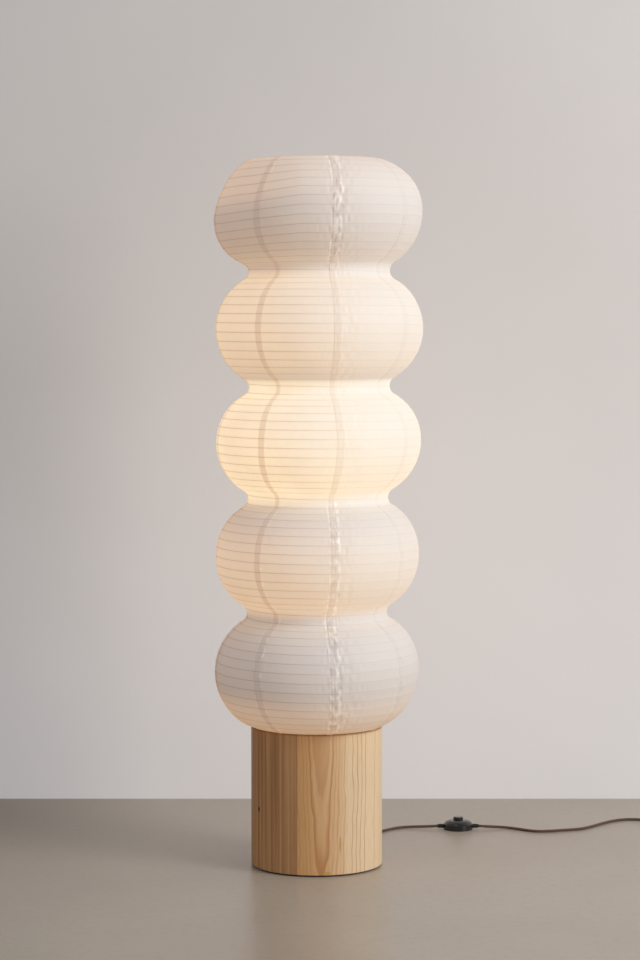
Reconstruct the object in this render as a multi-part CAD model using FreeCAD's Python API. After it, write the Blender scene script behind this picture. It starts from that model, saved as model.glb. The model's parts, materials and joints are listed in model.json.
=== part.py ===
import FreeCAD, Part
import math
import os

# Paper lantern floor lamp: a stack of five paper bubbles over a pine drum.
# Millimetres. The origin is the middle of the underside, +Z is up, and the front faces -Y.

Vector = FreeCAD.Vector
UP = Vector(0, 0, 1)
RIGHT = Vector(1, 0, 0)
BACK = Vector(0, 1, 0)

# ---- base ----
base_diameter = 252.0
base_height = 269.0              # floor to the top edge of the wood
drum_wall = 18.0
edge_round = 1.2
top_plate_bevel = 1.0
rebate = 8.0                     # how far each plate beds into the wall
pad_thickness = 3.0
pad_inset = 6.0
bottom_plate_thickness = 12.0
top_plate_thickness = 22.0
spigot_height = 4.0              # how far the top plate stands above the wood
plate_clearance = 0.15
ballast_diameter = 180.0
ballast_thickness = 16.0

# ---- fasteners ----
wood_screw_diameter = 3.5
wood_screw_length = 26.0
bolt_diameter = 5.0
bolt_length = 22.0
small_screw_diameter = 3.0
small_screw_length = 10.0
thread_clearance = 0.1
plate_screw_count = 4
ballast_bolt_count = 3
flange_screw_count = 4

# ---- cord ----
cord_diameter = 5.5
lead_clearance = 0.2             # round the lead in its bores and on what it lies on
floor_gap = 0.1                  # under the cord where it lies on the floor
bushing_body_diameter = 13.0
bushing_nose_diameter = 11.05    # where the tapered nose meets the flange
bushing_flange_diameter = 20.0
bushing_flange_thickness = 3.0
relief_length = 22.0             # tapered nose of the bushing
relief_tip_wall = 1.0
clamp_length = 12.0
clamp_width = 30.0
clamp_roof = 3.0
clamp_distance = 62.0            # from the lamp's axis to the middle of the clamp

# ---- pole ----
pole_diameter = 16.0
pole_wall = 1.5
flange_diameter = 72.0
flange_thickness = 3.0
collar_diameter = 26.0
collar_height = 18.0
pole_joint_height = 505.0        # where the two lengths of pole meet, above the floor
coupler_length = 50.0
coupler_wall = 2.2
grub_length = 3.2
grub_socket_depth = 1.0
grub_gap = 0.05                  # between the tip of a grub screw and the pole
fit_clearance = 0.1
top_bush_flange = 2.0
top_bush_depth = 15.0
nipple_diameter = 10.0
nipple_wall = 1.4
nipple_reach = 9.0               # how far the nipple screws down into the bush
nipple_stand = 0.15              # how far it stands above the floor of the lampholder's cup
lock_nut_thickness = 4.0
lock_nut_width = 17.0            # across flats

# ---- lampholder and bulb ----
bulb_centre_height = 833.0       # middle of the globe above the floor
bulb_diameter = 60.0
bulb_length = 108.0
bulb_wall = 1.0
bulb_cap_diameter = 26.0
bulb_cap_height = 22.0
bulb_cap_wall = 0.8
bulb_cap_slope = 2.0             # rise of the cap's sloping foot
bulb_cap_foot_diameter = 20.8
bulb_tip_height = 4.0
bulb_tip_diameter = 20.0         # of the insulating bead, where it meets the cap
bulb_contact_diameter = 9.0
bulb_contact_thickness = 1.0
bulb_collar_height = 20.0
bulb_collar_diameter = 40.0
bulb_collar_foot_diameter = 28.0
collar_wall = 1.6
collar_rim = 2.0                 # height of the rim round the board
globe_turn = 40.0                # degrees below the middle where the ball runs into its neck
globe_clearance = 0.1            # between the globe's neck and the edge of the collar
led_board_diameter = 30.0
led_board_thickness = 1.4
led_count = 8
led_size = 2.8
led_height = 0.8
holder_diameter = 40.0
holder_wall = 1.5
holder_cap_height = 20.0
holder_foot_diameter = 28.8
holder_slope = 7.0               # rise of the cup's sloping foot
holder_lip = 3.0                 # how far the shell reaches above the threaded sleeve
holder_mouth_gap = 1.2           # between the sleeve and the mouth of the shell
insulator_thickness = 13.0
insulator_gap = 1.0              # between the insulator and the wall of the cup
insulator_seat = 0.2             # between the insulator and the floor of the cup
insulator_recess = 6.0           # hollow under the insulator for the lead
insulator_recess_wall = 1.5      # round the lead there
insulator_slope = 7.5
contact_gap = 0.2
contact_thickness = 0.8
contact_rise = 3.0
contact_width = 6.0
contact_front = 7.0              # how far the foot reaches to the front
contact_back = 5.0
contact_tongue = 3.0             # how far the tongue reaches to the front
sleeve_clearance = 0.35          # between the bulb's cap and the threaded sleeve
sleeve_wall = 0.6
sleeve_height = 20.0
sleeve_flange = 2.5
sleeve_floor = 0.8

# ---- wire frame ----
frame_wire_diameter = 4.0
frame_half_width = 48.0
frame_bend_radius = 34.0
saddle_thickness = 3.0
saddle_width = 18.0
saddle_end = 9.0
frame_nut_thickness = 3.2
frame_nut_width = 8.0
frame_tail = 5.0                 # wire below the lower nut
hub_diameter = 28.0
hub_height = 12.0
hub_bevel = 1.5
hub_bore_depth = 8.0
hub_pin_diameter = 6.0
hub_pin_height = 7.0
hub_pin_bevel = 1.0
hub_pin_clearance = 0.3          # round the pin in the crossbar's eye

# ---- lantern ----
bubble_count = 5
bubble_diameter = 400.0
neck_diameter = 270.0
neck_round = 18.5                # radius of the outward curve at a neck
bubble_pitch = 219.6             # from one neck to the next
top_mouth_diameter = 252.0
bottom_mouth_diameter = 248.0
paper_thickness = 0.45
paper_lift = 0.4                 # lowest edge of the laps above the wood
gore_count = 8
first_seam = -79.5               # degrees round from +X
gore_gap = 0.15                  # degrees
lap_width = 13.0                 # measured at the widest part of a bubble
lap_gap = 0.4
lap_step = 0.35                  # degrees taken by the step up to the lap
rib_diameter = 1.2               # across the corners of the wire
rib_sides = 6
rib_gap = 0.55                   # from the paper to the rib
rib_turns = 75
rib_end = 7.0                    # paper left bare of ribs at each mouth
ring_wire_diameter = 4.0
ring_gap = 0.5
ring_overrun = 1.5               # how far the ring lies past the edge of the paper
crossbar_width = 12.0
crossbar_thickness = 2.0
weld_gap = 0.1
crossbar_end = 2.0               # how far the bar's ends pass the middle of the ring's wire

# ---- foot switch ----
switch_x = 292.0
switch_y = 345.0
switch_diameter = 60.0
switch_base_height = 5.0
switch_height = 19.5
switch_wall = 2.0
switch_bevel = 0.8
switch_shoulder = 0.42           # share of the cover's height that stands upright
switch_bulge = 2.2               # rise of the dome over the straight line from shoulder to top
switch_flat = 1.5                # level ring round the button
switch_post_diameter = 6.4
switch_post_inset = 5.0
switch_screw_bite = 6.0          # how far the screws reach into the cover
switch_entry_height = 6.6
switch_relief_length = 12.0
switch_relief_diameter = 8.4
switch_relief_collar = 3.0       # straight part of the relief outside the cover
relief_clearance = 0.15
button_diameter = 20.0
button_height = 26.0             # top of the button above the floor
button_clearance = 0.3
button_flange = 2.0
button_flange_reach = 1.2
button_rim = 1.6                 # radius of the rounded rim
block_width = 24.0
block_depth = 14.0
block_height = 6.0
spring_diameter = 9.0
spring_wall = 1.0
spring_gap = 0.05                # between the spring and the button

# ---- plug ----
plug_length = 34.0
plug_width = 26.0
plug_thickness = 18.0
plug_relief_length = 24.0
plug_round = 5.0
plug_shoulder_round = 2.0
plug_relief_diameter = 12.96     # where the relief meets the body
blade_spacing = 12.7
blade_length = 16.0
blade_width = 6.35
blade_thickness = 1.5
blade_seat = 4.0                 # how far the blades reach into the body
blade_clearance = 0.05

# ---- coil of spare cord ----
coil_x = 728.0
coil_y = 372.0
coil_diameter = 68.0             # across the middle of the turns
coil_step = 6.1                  # from one turn to the next
coil_climb = 0.5                 # turns taken to climb to the upper layer
coil_start = 67.0                # degrees round from +X, where the cord comes in
coil_turn_count = 6
coil_tail = 20.0                 # straight end between the coil and the plug
lead_turn = 37.0                 # radius of the lead's turn from the clamp up to the pole

# ---- sizes that follow from those above ----
base_radius = base_diameter / 2
drum_inner = base_radius - drum_wall
plate_radius = drum_inner + rebate - plate_clearance
top_plate_bottom = base_height + spigot_height - top_plate_thickness
top_plate_top = base_height + spigot_height
ballast_bottom = pad_thickness + bottom_plate_thickness
ballast_top = ballast_bottom + ballast_thickness
cord_radius = cord_diameter / 2
lead_height = ballast_top + cord_radius + lead_clearance
lead_bore = cord_radius + lead_clearance
nose_end = base_radius + bushing_flange_thickness + relief_length
cord_rest = cord_radius + floor_gap

pole_radius = pole_diameter / 2
pole_bore = pole_radius - pole_wall
bulb_radius = bulb_diameter / 2
bulb_tip = bulb_centre_height + bulb_radius - bulb_length
insulator_top = bulb_tip - contact_gap - contact_rise
holder_bottom = insulator_top - insulator_thickness - holder_wall
saddle_top = holder_bottom - lock_nut_thickness
saddle_bottom = saddle_top - saddle_thickness
pole_top = saddle_bottom - top_bush_flange
pole_bottom = top_plate_top
nipple_radius = nipple_diameter / 2
holder_radius = holder_diameter / 2

bubble_radius = bubble_diameter / 2
neck_radius = neck_diameter / 2
bubble_sag = bubble_radius - neck_radius
half_pitch = bubble_pitch / 2
arc_sum = (bubble_sag**2 + half_pitch**2) / (2 * bubble_sag)
bubble_round = arc_sum - neck_round
tangent_angle = math.asin(half_pitch / arc_sum)
round_centre = bubble_radius - bubble_round
top_angle = math.acos((top_mouth_diameter / 2 - round_centre) / bubble_round)
bottom_angle = math.acos((bottom_mouth_diameter / 2 - round_centre) / bubble_round)
lap_outside = lap_gap + paper_thickness
first_equator = base_height + paper_lift + (bubble_round + lap_outside) * math.sin(bottom_angle)
lowest_paper = first_equator - bubble_round * math.sin(bottom_angle)
last_equator = first_equator + (bubble_count - 1) * bubble_pitch
highest_paper = last_equator + bubble_round * math.sin(top_angle)
bottom_length = bubble_round * bottom_angle
top_length = bubble_round * top_angle
wave_length = 2 * arc_sum * tangent_angle
paper_length = bottom_length + (bubble_count - 1) * wave_length + top_length

rib_depth = paper_thickness + rib_gap + rib_diameter / 2
ring_wire_radius = ring_wire_diameter / 2
ring_depth = paper_thickness + ring_gap + ring_wire_radius


def move(shape, x=0.0, y=0.0, z=0.0):
    moved = shape.copy()
    moved.translate(Vector(x, y, z))
    return moved


def turned(shape, degrees, axis=UP):
    copy = shape.copy()
    copy.rotate(Vector(0, 0, 0), axis, degrees)
    return copy


def cylinder(radius, low, high, x=0.0, y=0.0):
    return Part.makeCylinder(radius, high - low, Vector(x, y, low), UP)


def tube(outer, inner, low, high, x=0.0, y=0.0):
    return cylinder(outer, low, high, x, y).cut(cylinder(inner, low - 1, high + 1, x, y))


def block(low, high):
    size = high - low
    return Part.makeBox(size.x, size.y, size.z, low)


def lathe(points, degrees=360.0):
    """A solid turned round the Z axis from (radius, height) corners."""
    corners = [Vector(r, 0, z) for r, z in points]
    wire = Part.makePolygon(corners + corners[:1])
    return Part.Face(wire).revolve(Vector(0, 0, 0), UP, degrees)


def hexagon(across, low, high, bore, x=0.0, y=0.0):
    reach = across / math.sqrt(3)
    turns = [k * math.pi / 3 for k in range(6)]
    corners = [Vector(x + reach * math.cos(t), y + reach * math.sin(t), low) for t in turns]
    face = Part.Face(Part.makePolygon(corners + corners[:1]))
    return face.extrude(UP * (high - low)).cut(cylinder(bore, low - 1, high + 1, x, y))


def cross_slot(radius, low, high):
    """The cross-shaped recess of a screw head, pointing down from high to low."""
    half = radius * 0.16
    bar = block(Vector(-radius * 0.6, -half, low), Vector(radius * 0.6, half, high + 1))
    return bar.fuse(turned(bar, 90))


def flat_head_screw(diameter, length):
    """A countersunk screw with the flat of its head at height 0, pointing up."""
    radius = diameter / 2
    head = diameter
    body = lathe([(0, 0), (head, 0), (radius, radius * 1.1), (radius, length - diameter),
                  (radius * 0.3, length), (0, length)])
    return body.cut(cross_slot(head, -1, radius * 0.8))


def flat_head_hole(diameter, length):
    radius = diameter / 2 + thread_clearance
    head = diameter + thread_clearance
    end = length + thread_clearance
    return lathe([(0, -1), (head, -1), (head, 0), (radius, diameter / 2 * 1.1), (radius, end), (0, end)])


def pan_head_screw(diameter, length):
    """A screw whose head sits on height 0 and whose shank points down."""
    radius = diameter / 2
    head = diameter * 0.95
    rise = diameter * 0.6
    body = lathe([(0, rise), (head * 0.7, rise), (head, rise * 0.5), (head, 0), (radius, 0),
                  (radius, diameter - length), (radius * 0.3, -length), (0, -length)])
    return body.cut(cross_slot(head, rise * 0.35, rise))


def pan_head_hole(diameter, length):
    radius = diameter / 2 + thread_clearance
    return cylinder(radius, -length - thread_clearance, 1)


def ring_places(count, radius, start=0.0):
    for k in range(count):
        angle = math.radians(start + 360.0 * k / count)
        yield radius * math.cos(angle), radius * math.sin(angle)


def save(name, solids):
    """One file per sub-part, holding its separate solids."""
    solids = solids if isinstance(solids, list) else [solids]
    pieces = []
    for solid in solids:
        pieces += solid.Solids
    for piece in pieces:
        if not piece.isValid() or piece.Volume <= 0:
            print("not sound:", name)
    shape = pieces[0] if len(pieces) == 1 else Part.makeCompound(pieces)
    shape.exportStep("parts/" + name + ".step")


# ---- tubes that follow a route ----
def arc_from(start, end, tangent):
    """The arc from start to end that leaves along tangent."""
    chord = end - start
    side = chord - tangent * chord.dot(tangent)
    if side.Length < 1e-7 * chord.Length:
        return Part.LineSegment(start, end)
    side.normalize()
    centre = start + side * (chord.dot(chord) / (2 * chord.dot(side)))
    middle = (start + end) * 0.5 - centre
    middle.normalize()
    return Part.Arc(start, centre + middle * (start - centre).Length, end)


def biarc(start, end, leave, arrive):
    """Two arcs from start to end with the given directions at their ends."""
    span = end - start
    both = leave + arrive
    a = 2 * (1 - leave.dot(arrive))
    b = 2 * span.dot(both)
    c = span.dot(span)
    reach = 2 * c / (b + math.sqrt(b * b + 4 * a * c))
    joint = (start + end + (leave - arrive) * reach) * 0.5
    back = arc_from(end, joint, arrive * -1)
    if isinstance(back, Part.LineSegment):
        second = Part.LineSegment(joint, end)
    else:
        edge = back.toShape()
        second = Part.Arc(joint, edge.valueAt((edge.FirstParameter + edge.LastParameter) / 2), end)
    return [arc_from(start, joint, leave).toShape(), second.toShape()]


def wound_path(point_at, stations, lead, tail):
    """Biarcs through a winding, with a straight stretch at each end."""
    step = 1e-4
    points = [point_at(t) for t in stations]
    ways = []
    for t in stations:
        way = point_at(t + step) - point_at(t - step)
        way.normalize()
        ways.append(way)
    edges = [Part.LineSegment(points[0] - ways[0] * lead, points[0]).toShape()]
    for k in range(len(points) - 1):
        edges += biarc(points[k], points[k + 1], ways[k], ways[k + 1])
    edges.append(Part.LineSegment(points[-1], points[-1] + ways[-1] * tail).toShape())
    return Part.Wire(edges)


def section_ring(start, way, radius, sides):
    """The outline that is swept along a path: a circle, or a polygon if it has sides."""
    if not sides:
        return Part.Wire([Part.Circle(start, way, radius).toShape()])
    out = Vector(start.x, start.y, 0)
    out = out - way * out.dot(way)
    out.normalize()
    up = way.cross(out)
    turns = [2 * math.pi * (k + 0.5) / sides for k in range(sides)]
    corners = [start + (out * math.cos(t) + up * math.sin(t)) * radius for t in turns]
    return Part.makePolygon(corners + corners[:1])


def swept(wire, radius, sides=0):
    """A solid along a path, and its volume over its section times its length."""
    first = wire.OrderedEdges[0]
    begin = first.FirstParameter
    ring = section_ring(first.valueAt(begin), first.tangentAt(begin), radius, sides)
    shell = Part.BRepOffsetAPI.MakePipeShell(wire)
    shell.add(ring, False, False)
    shell.build()
    shell.makeSolid()
    solid = shell.shape()
    return solid, solid.Volume / (Part.Face(ring).Area * wire.Length)


def routed_path(points):
    """Straight runs joined by arcs as large as their runs allow."""
    radii = []
    edges = []
    here = points[0]
    for k in range(1, len(points) - 1):
        into = points[k] - points[k - 1]
        out = points[k + 1] - points[k]
        short = min(into.Length, out.Length)
        into.normalize()
        out.normalize()
        half_turn = math.acos(max(-1.0, min(1.0, into.dot(out)))) / 2
        cut = 0.45 * short
        start = points[k] - into * cut
        end = points[k] + out * cut
        edges.append(Part.LineSegment(here, start).toShape())
        edges.append(arc_from(start, end, into).toShape())
        radii.append(cut / math.tan(half_turn))
        here = end
    edges.append(Part.LineSegment(here, points[-1]).toShape())
    return Part.Wire(edges), radii


def routed_tube(name, points, diameter):
    wire, radii = routed_path(points)
    solid, share = swept(wire, diameter / 2)
    print("%s: length %.0f, arc radii %s, volume over section times length %.5f"
          % (name, wire.Length, [round(r) for r in radii], share))
    return solid


# ---- base ----
def plate_screw_places():
    return ring_places(plate_screw_count, drum_inner + rebate / 2, 45.0)


def base_drum():
    inner = drum_inner
    seat = drum_inner + rebate
    low = pad_thickness
    top = base_height
    edge = base_radius - edge_round
    drum = lathe([(inner, ballast_bottom), (seat, ballast_bottom), (seat, low), (edge, low),
                  (base_radius, low + edge_round), (base_radius, top - edge_round), (edge, top),
                  (seat, top), (seat, top_plate_bottom), (inner, top_plate_bottom)])
    hole = Part.makeCylinder(bushing_body_diameter / 2 + plate_clearance, drum_wall * 3,
                             Vector(0, base_radius - drum_wall * 2, lead_height), BACK)
    drum = drum.cut(hole)
    for x, y in plate_screw_places():
        drum = drum.cut(move(flat_head_hole(wood_screw_diameter, wood_screw_length), x, y, pad_thickness))
        upper = turned(flat_head_hole(wood_screw_diameter, top_screw_length()), 180, RIGHT)
        drum = drum.cut(move(upper, x, y, top_plate_top))
    return drum


def top_screw_length():
    return wood_screw_length + top_plate_thickness - bottom_plate_thickness


def bottom_plate_screws():
    screw = flat_head_screw(wood_screw_diameter, wood_screw_length)
    return [move(screw, x, y, pad_thickness) for x, y in plate_screw_places()]


def top_plate_screws():
    screw = turned(flat_head_screw(wood_screw_diameter, top_screw_length()), 180, RIGHT)
    return [move(screw, x, y, top_plate_top) for x, y in plate_screw_places()]


def foot_pad():
    return cylinder(base_radius - pad_inset, 0, pad_thickness)


def bottom_plate():
    plate = cylinder(plate_radius, pad_thickness, ballast_bottom)
    for x, y in plate_screw_places():
        plate = plate.cut(move(flat_head_hole(wood_screw_diameter, wood_screw_length), x, y, pad_thickness))
    for x, y in ballast_bolt_places():
        plate = plate.cut(move(flat_head_hole(bolt_diameter, bolt_length), x, y, pad_thickness))
    return plate


def ballast_bolt_places():
    return ring_places(ballast_bolt_count, ballast_diameter * 0.36, 30.0)


def ballast_bolts():
    bolt = flat_head_screw(bolt_diameter, bolt_length)
    return [move(bolt, x, y, pad_thickness) for x, y in ballast_bolt_places()]


def clamp_screw_places():
    reach = (clamp_width / 2 + lead_bore) / 2
    return [(-reach, clamp_distance), (reach, clamp_distance)]


def ballast():
    disc = cylinder(ballast_diameter / 2, ballast_bottom, ballast_top)
    for x, y in ballast_bolt_places():
        disc = disc.cut(move(flat_head_hole(bolt_diameter, bolt_length), x, y, pad_thickness))
    for x, y in clamp_screw_places():
        disc = disc.cut(move(pan_head_hole(small_screw_diameter, clamp_screw_length()), x, y, clamp_top()))
    return disc


def clamp_top():
    return lead_height + lead_bore + clamp_roof


def clamp_screw_length():
    return clamp_top() - ballast_top + small_screw_length * 0.7


def clamp_screws():
    screw = pan_head_screw(small_screw_diameter, clamp_screw_length())
    return [move(screw, x, y, clamp_top()) for x, y in clamp_screw_places()]


def cord_clamp():
    low = Vector(-clamp_width / 2, clamp_distance - clamp_length / 2, ballast_top)
    high = Vector(clamp_width / 2, clamp_distance + clamp_length / 2, clamp_top())
    clamp = block(low, high)
    channel = Part.makeCylinder(lead_bore, clamp_length + 2,
                                Vector(0, clamp_distance - clamp_length / 2 - 1, lead_height), BACK)
    slot = block(Vector(-lead_bore, low.y - 1, ballast_top - 1), Vector(lead_bore, high.y + 1, lead_height))
    clamp = clamp.cut(channel).cut(slot)
    for x, y in clamp_screw_places():
        clamp = clamp.cut(move(pan_head_hole(small_screw_diameter, clamp_screw_length()), x, y, clamp_top()))
    return clamp


def top_plate():
    plate = cylinder(plate_radius, top_plate_bottom, top_plate_top)
    rim = [e for e in plate.Edges if e.Vertexes[0].Point.z > base_height]
    plate = plate.makeChamfer(top_plate_bevel, rim)
    plate = plate.cut(cylinder(pole_bore, top_plate_bottom - 1, top_plate_top + 1))
    for x, y in plate_screw_places():
        upper = turned(flat_head_hole(wood_screw_diameter, top_screw_length()), 180, RIGHT)
        plate = plate.cut(move(upper, x, y, top_plate_top))
    hole = pan_head_hole(small_screw_diameter, flange_screw_length())
    for x, y in flange_screw_places():
        plate = plate.cut(move(hole, x, y, flange_top()))
    return plate


def flange_top():
    return top_plate_top + flange_thickness


def flange_screw_length():
    return flange_thickness + small_screw_length


def flange_screw_places():
    return ring_places(flange_screw_count, (flange_diameter + collar_diameter) / 4, 45.0)


def flange_screws():
    screw = pan_head_screw(small_screw_diameter, flange_screw_length())
    return [move(screw, x, y, flange_top()) for x, y in flange_screw_places()]


def cord_bushing():
    """A grommet through the back of the drum, with a tapered nose round the cord."""
    inside = drum_inner
    body = bushing_body_diameter / 2
    outside = base_radius + plate_clearance
    nose = outside + bushing_flange_thickness
    tip = lead_bore + relief_tip_wall
    outline = [(lead_bore, inside), (body, inside), (body, outside), (bushing_flange_diameter / 2, outside),
               (bushing_flange_diameter / 2, nose), (bushing_nose_diameter / 2, nose), (tip, nose_end),
               (lead_bore, nose_end)]
    piece = turned(lathe(outline), -90, RIGHT)
    return move(piece, z=lead_height)


# ---- pole ----
def pole_flange():
    flange = lathe([(pole_radius + fit_clearance, top_plate_top), (flange_diameter / 2, top_plate_top),
                    (flange_diameter / 2, flange_top()), (collar_diameter / 2, flange_top()),
                    (collar_diameter / 2, top_plate_top + collar_height),
                    (pole_radius + fit_clearance, top_plate_top + collar_height)])
    hole = pan_head_hole(small_screw_diameter, flange_screw_length())
    for x, y in flange_screw_places():
        flange = flange.cut(move(hole, x, y, flange_top()))
    return flange


def pole_coupler():
    inner = pole_radius + fit_clearance
    low = pole_joint_height - coupler_length / 2
    high = pole_joint_height + coupler_length / 2
    sleeve = tube(inner + coupler_wall, inner, low, high)
    for z in coupler_screw_heights():
        hole = Part.makeCylinder(small_screw_diameter / 2 + thread_clearance, coupler_wall * 3,
                                 Vector(0, inner - coupler_wall, z), BACK)
        sleeve = sleeve.cut(hole)
    return sleeve


def coupler_screw_heights():
    return [pole_joint_height - coupler_length / 4, pole_joint_height + coupler_length / 4]


def coupler_screws():
    """Two grub screws that press on the pole from behind."""
    screws = []
    for z in coupler_screw_heights():
        start = pole_radius + grub_gap
        grub = Part.makeCylinder(small_screw_diameter / 2, grub_length, Vector(0, start, z), BACK)
        socket = Part.makeCylinder(small_screw_diameter / 4, grub_socket_depth,
                                   Vector(0, start + grub_length - grub_socket_depth, z), BACK)
        screws.append(grub.cut(socket))
    return screws


def top_bush():
    """The turned plug in the top of the pole that takes the threaded nipple."""
    low = pole_top - top_bush_depth
    thread = nipple_radius + thread_clearance
    plug = pole_bore - fit_clearance
    return lathe([(thread, low), (plug, low), (plug, pole_top), (pole_radius, pole_top),
                  (pole_radius, saddle_bottom), (thread, saddle_bottom)])


# ---- lampholder ----
def holder_cap():
    """The metal cup under the lampholder, screwed to the nipple."""
    low = holder_bottom
    high = holder_bottom + holder_cap_height
    hole = nipple_radius + thread_clearance
    foot = holder_foot_diameter / 2
    inside = holder_radius - holder_wall
    shoulder = low + holder_slope
    return lathe([(hole, low), (foot, low), (holder_radius, shoulder), (holder_radius, high), (inside, high),
                  (inside, shoulder + holder_wall / 2), (foot - holder_wall, low + holder_wall),
                  (hole, low + holder_wall)])


def holder_rim():
    return bulb_tip + bulb_tip_height + sleeve_height


def holder_shell():
    """The outer shell of the lampholder, which stands on the rim of the cup."""
    low = holder_bottom + holder_cap_height
    high = holder_rim() + holder_lip
    inside = holder_radius - holder_wall
    mouth = bulb_cap_diameter / 2 + sleeve_clearance + sleeve_wall + holder_mouth_gap
    shoulder = high - 2 * holder_wall
    return lathe([(inside, low), (holder_radius, low), (holder_radius, shoulder), (inside, high),
                  (mouth, high), (mouth, high - holder_wall), (inside, shoulder - 1.0)])


def insulator_outer():
    return holder_radius - holder_wall - insulator_gap


def holder_insulator():
    """The ceramic block that carries the contacts, seated in the cup."""
    low = holder_bottom + holder_wall + insulator_seat
    narrow = holder_foot_diameter / 2 - holder_wall - insulator_gap
    outer = insulator_outer()
    recess = lead_bore + insulator_recess_wall
    return lathe([(0, low + insulator_recess), (recess, low + insulator_recess), (recess, low), (narrow, low),
                  (outer, low + insulator_slope), (outer, insulator_top), (0, insulator_top)])


def nipple_top():
    return holder_bottom + holder_wall + nipple_stand


def nipple():
    return tube(nipple_radius, nipple_radius - nipple_wall, pole_top - nipple_reach, nipple_top())


def sleeve():
    """The threaded sleeve that the bulb screws into, standing on the insulator."""
    inner = bulb_cap_diameter / 2 + sleeve_clearance
    outer = inner + sleeve_wall
    floor = insulator_top + sleeve_floor
    return lathe([(inner - sleeve_flange, insulator_top), (outer, insulator_top), (outer, holder_rim()),
                  (inner, holder_rim()), (inner, floor), (inner - sleeve_flange, floor)])


def centre_contact():
    """A bent brass tongue on the insulator, under the tip of the bulb."""
    half = contact_width / 2
    low = insulator_top
    top = bulb_tip - contact_gap
    corner = Vector(half, contact_back, top)
    foot = block(Vector(-half, -contact_front, low), Vector(half, contact_back, low + contact_thickness))
    riser = block(Vector(-half, contact_back - contact_thickness, low), corner)
    tongue = block(Vector(-half, -contact_tongue, top - contact_thickness), corner)
    return foot.fuse([riser, tongue]).removeSplitter()


# ---- bulb ----
def bulb_contact():
    return cylinder(bulb_contact_diameter / 2, bulb_tip, bulb_tip + bulb_contact_thickness)


def bulb_tip_insulator():
    low = bulb_tip + bulb_contact_thickness
    high = bulb_tip + bulb_tip_height
    return lathe([(0, low), (bulb_contact_diameter / 2 + 0.5, low), (bulb_tip_diameter / 2, high), (0, high)])


def cap_top():
    return bulb_tip + bulb_tip_height + bulb_cap_height


def bulb_cap():
    outer = bulb_cap_diameter / 2
    inner = outer - bulb_cap_wall
    low = bulb_tip + bulb_tip_height
    floor = low + bulb_cap_slope + bulb_cap_wall
    high = cap_top()
    return lathe([(0, low), (bulb_cap_foot_diameter / 2, low), (outer, low + bulb_cap_slope),
                  (outer, high), (inner, high), (inner, floor), (0, floor)])


def collar_top():
    return cap_top() + bulb_collar_height


def bulb_collar():
    """The plastic shell between the cap and the globe, which holds the board."""
    outer = bulb_collar_diameter / 2
    inner = outer - collar_wall
    floor = collar_top() - collar_rim
    return lathe([(0, cap_top()), (bulb_collar_foot_diameter / 2, cap_top()), (outer, collar_top()),
                  (inner, collar_top()), (inner - 0.2, floor), (0, floor)])


def led_board():
    low = collar_top() - collar_rim
    half = led_size / 2
    board = cylinder(led_board_diameter / 2, low, low + led_board_thickness)
    chip_high = low + led_board_thickness + led_height
    for x, y in ring_places(led_count, led_board_diameter * 0.33):
        board = board.fuse(block(Vector(x - half, y - half, low + led_board_thickness / 2),
                                 Vector(x + half, y + half, chip_high)))
    return board


def globe_solid(shrink, low):
    """A ball on a tapering neck, drawn in by shrink, down to a height."""
    radius = bulb_radius - shrink
    neck = bulb_collar_diameter / 2 - globe_clearance - shrink
    turn = math.radians(globe_turn)
    waist = bulb_centre_height - radius * math.sin(turn)
    ball = Part.makeSphere(radius, Vector(0, 0, bulb_centre_height))
    ball = ball.cut(cylinder(radius + 1, bulb_centre_height - radius - 1, waist))
    return ball.fuse(lathe([(0, low), (neck, low), (radius * math.cos(turn), waist), (0, waist)]))


def bulb_globe():
    return globe_solid(0.0, collar_top()).cut(globe_solid(bulb_wall, collar_top() - 0.5))


# ---- wire frame ----
def frame_top():
    """Height of the frame wires where they run into the hub."""
    return crossbar_bottom() - hub_height / 2


def crossbar_bottom():
    return top_ring_height() - ring_wire_radius - weld_gap - crossbar_thickness


def frame_saddle():
    reach = frame_half_width + saddle_end
    half = saddle_width / 2
    plate = block(Vector(-reach, -half, saddle_bottom), Vector(reach, half, saddle_top))
    plate = plate.makeFillet(saddle_width * 0.3, [e for e in plate.Edges if abs(e.tangentAt(0).z) > 0.9])
    plate = plate.cut(cylinder(nipple_radius + thread_clearance, saddle_bottom - 1, saddle_top + 1))
    bore = frame_wire_diameter / 2 + fit_clearance
    for x in (-frame_half_width, frame_half_width):
        plate = plate.cut(cylinder(bore, saddle_bottom - 1, saddle_top + 1, x))
    return plate


def frame_upright(side):
    """One of the two steel wires that rise beside the bulb and turn in to the hub."""
    x = side * frame_half_width
    high = frame_top()
    low = Vector(x, 0, saddle_bottom - frame_nut_thickness - frame_tail)
    bend_start = Vector(x, 0, high - frame_bend_radius)
    bend_end = Vector(x - side * frame_bend_radius, 0, high)
    inner = Vector(side * (hub_diameter / 2 - hub_bore_depth), 0, high)
    path = [Part.LineSegment(low, bend_start), arc_from(bend_start, bend_end, UP),
            Part.LineSegment(bend_end, inner)]
    wire = Part.Wire([part.toShape() for part in path])
    return swept(wire, frame_wire_diameter / 2)[0]


def frame_nuts():
    bore = frame_wire_diameter / 2 + thread_clearance
    nuts = []
    for x in (-frame_half_width, frame_half_width):
        nuts.append(hexagon(frame_nut_width, saddle_bottom - frame_nut_thickness, saddle_bottom, bore, x))
        nuts.append(hexagon(frame_nut_width, saddle_top, saddle_top + frame_nut_thickness, bore, x))
    return nuts


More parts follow.
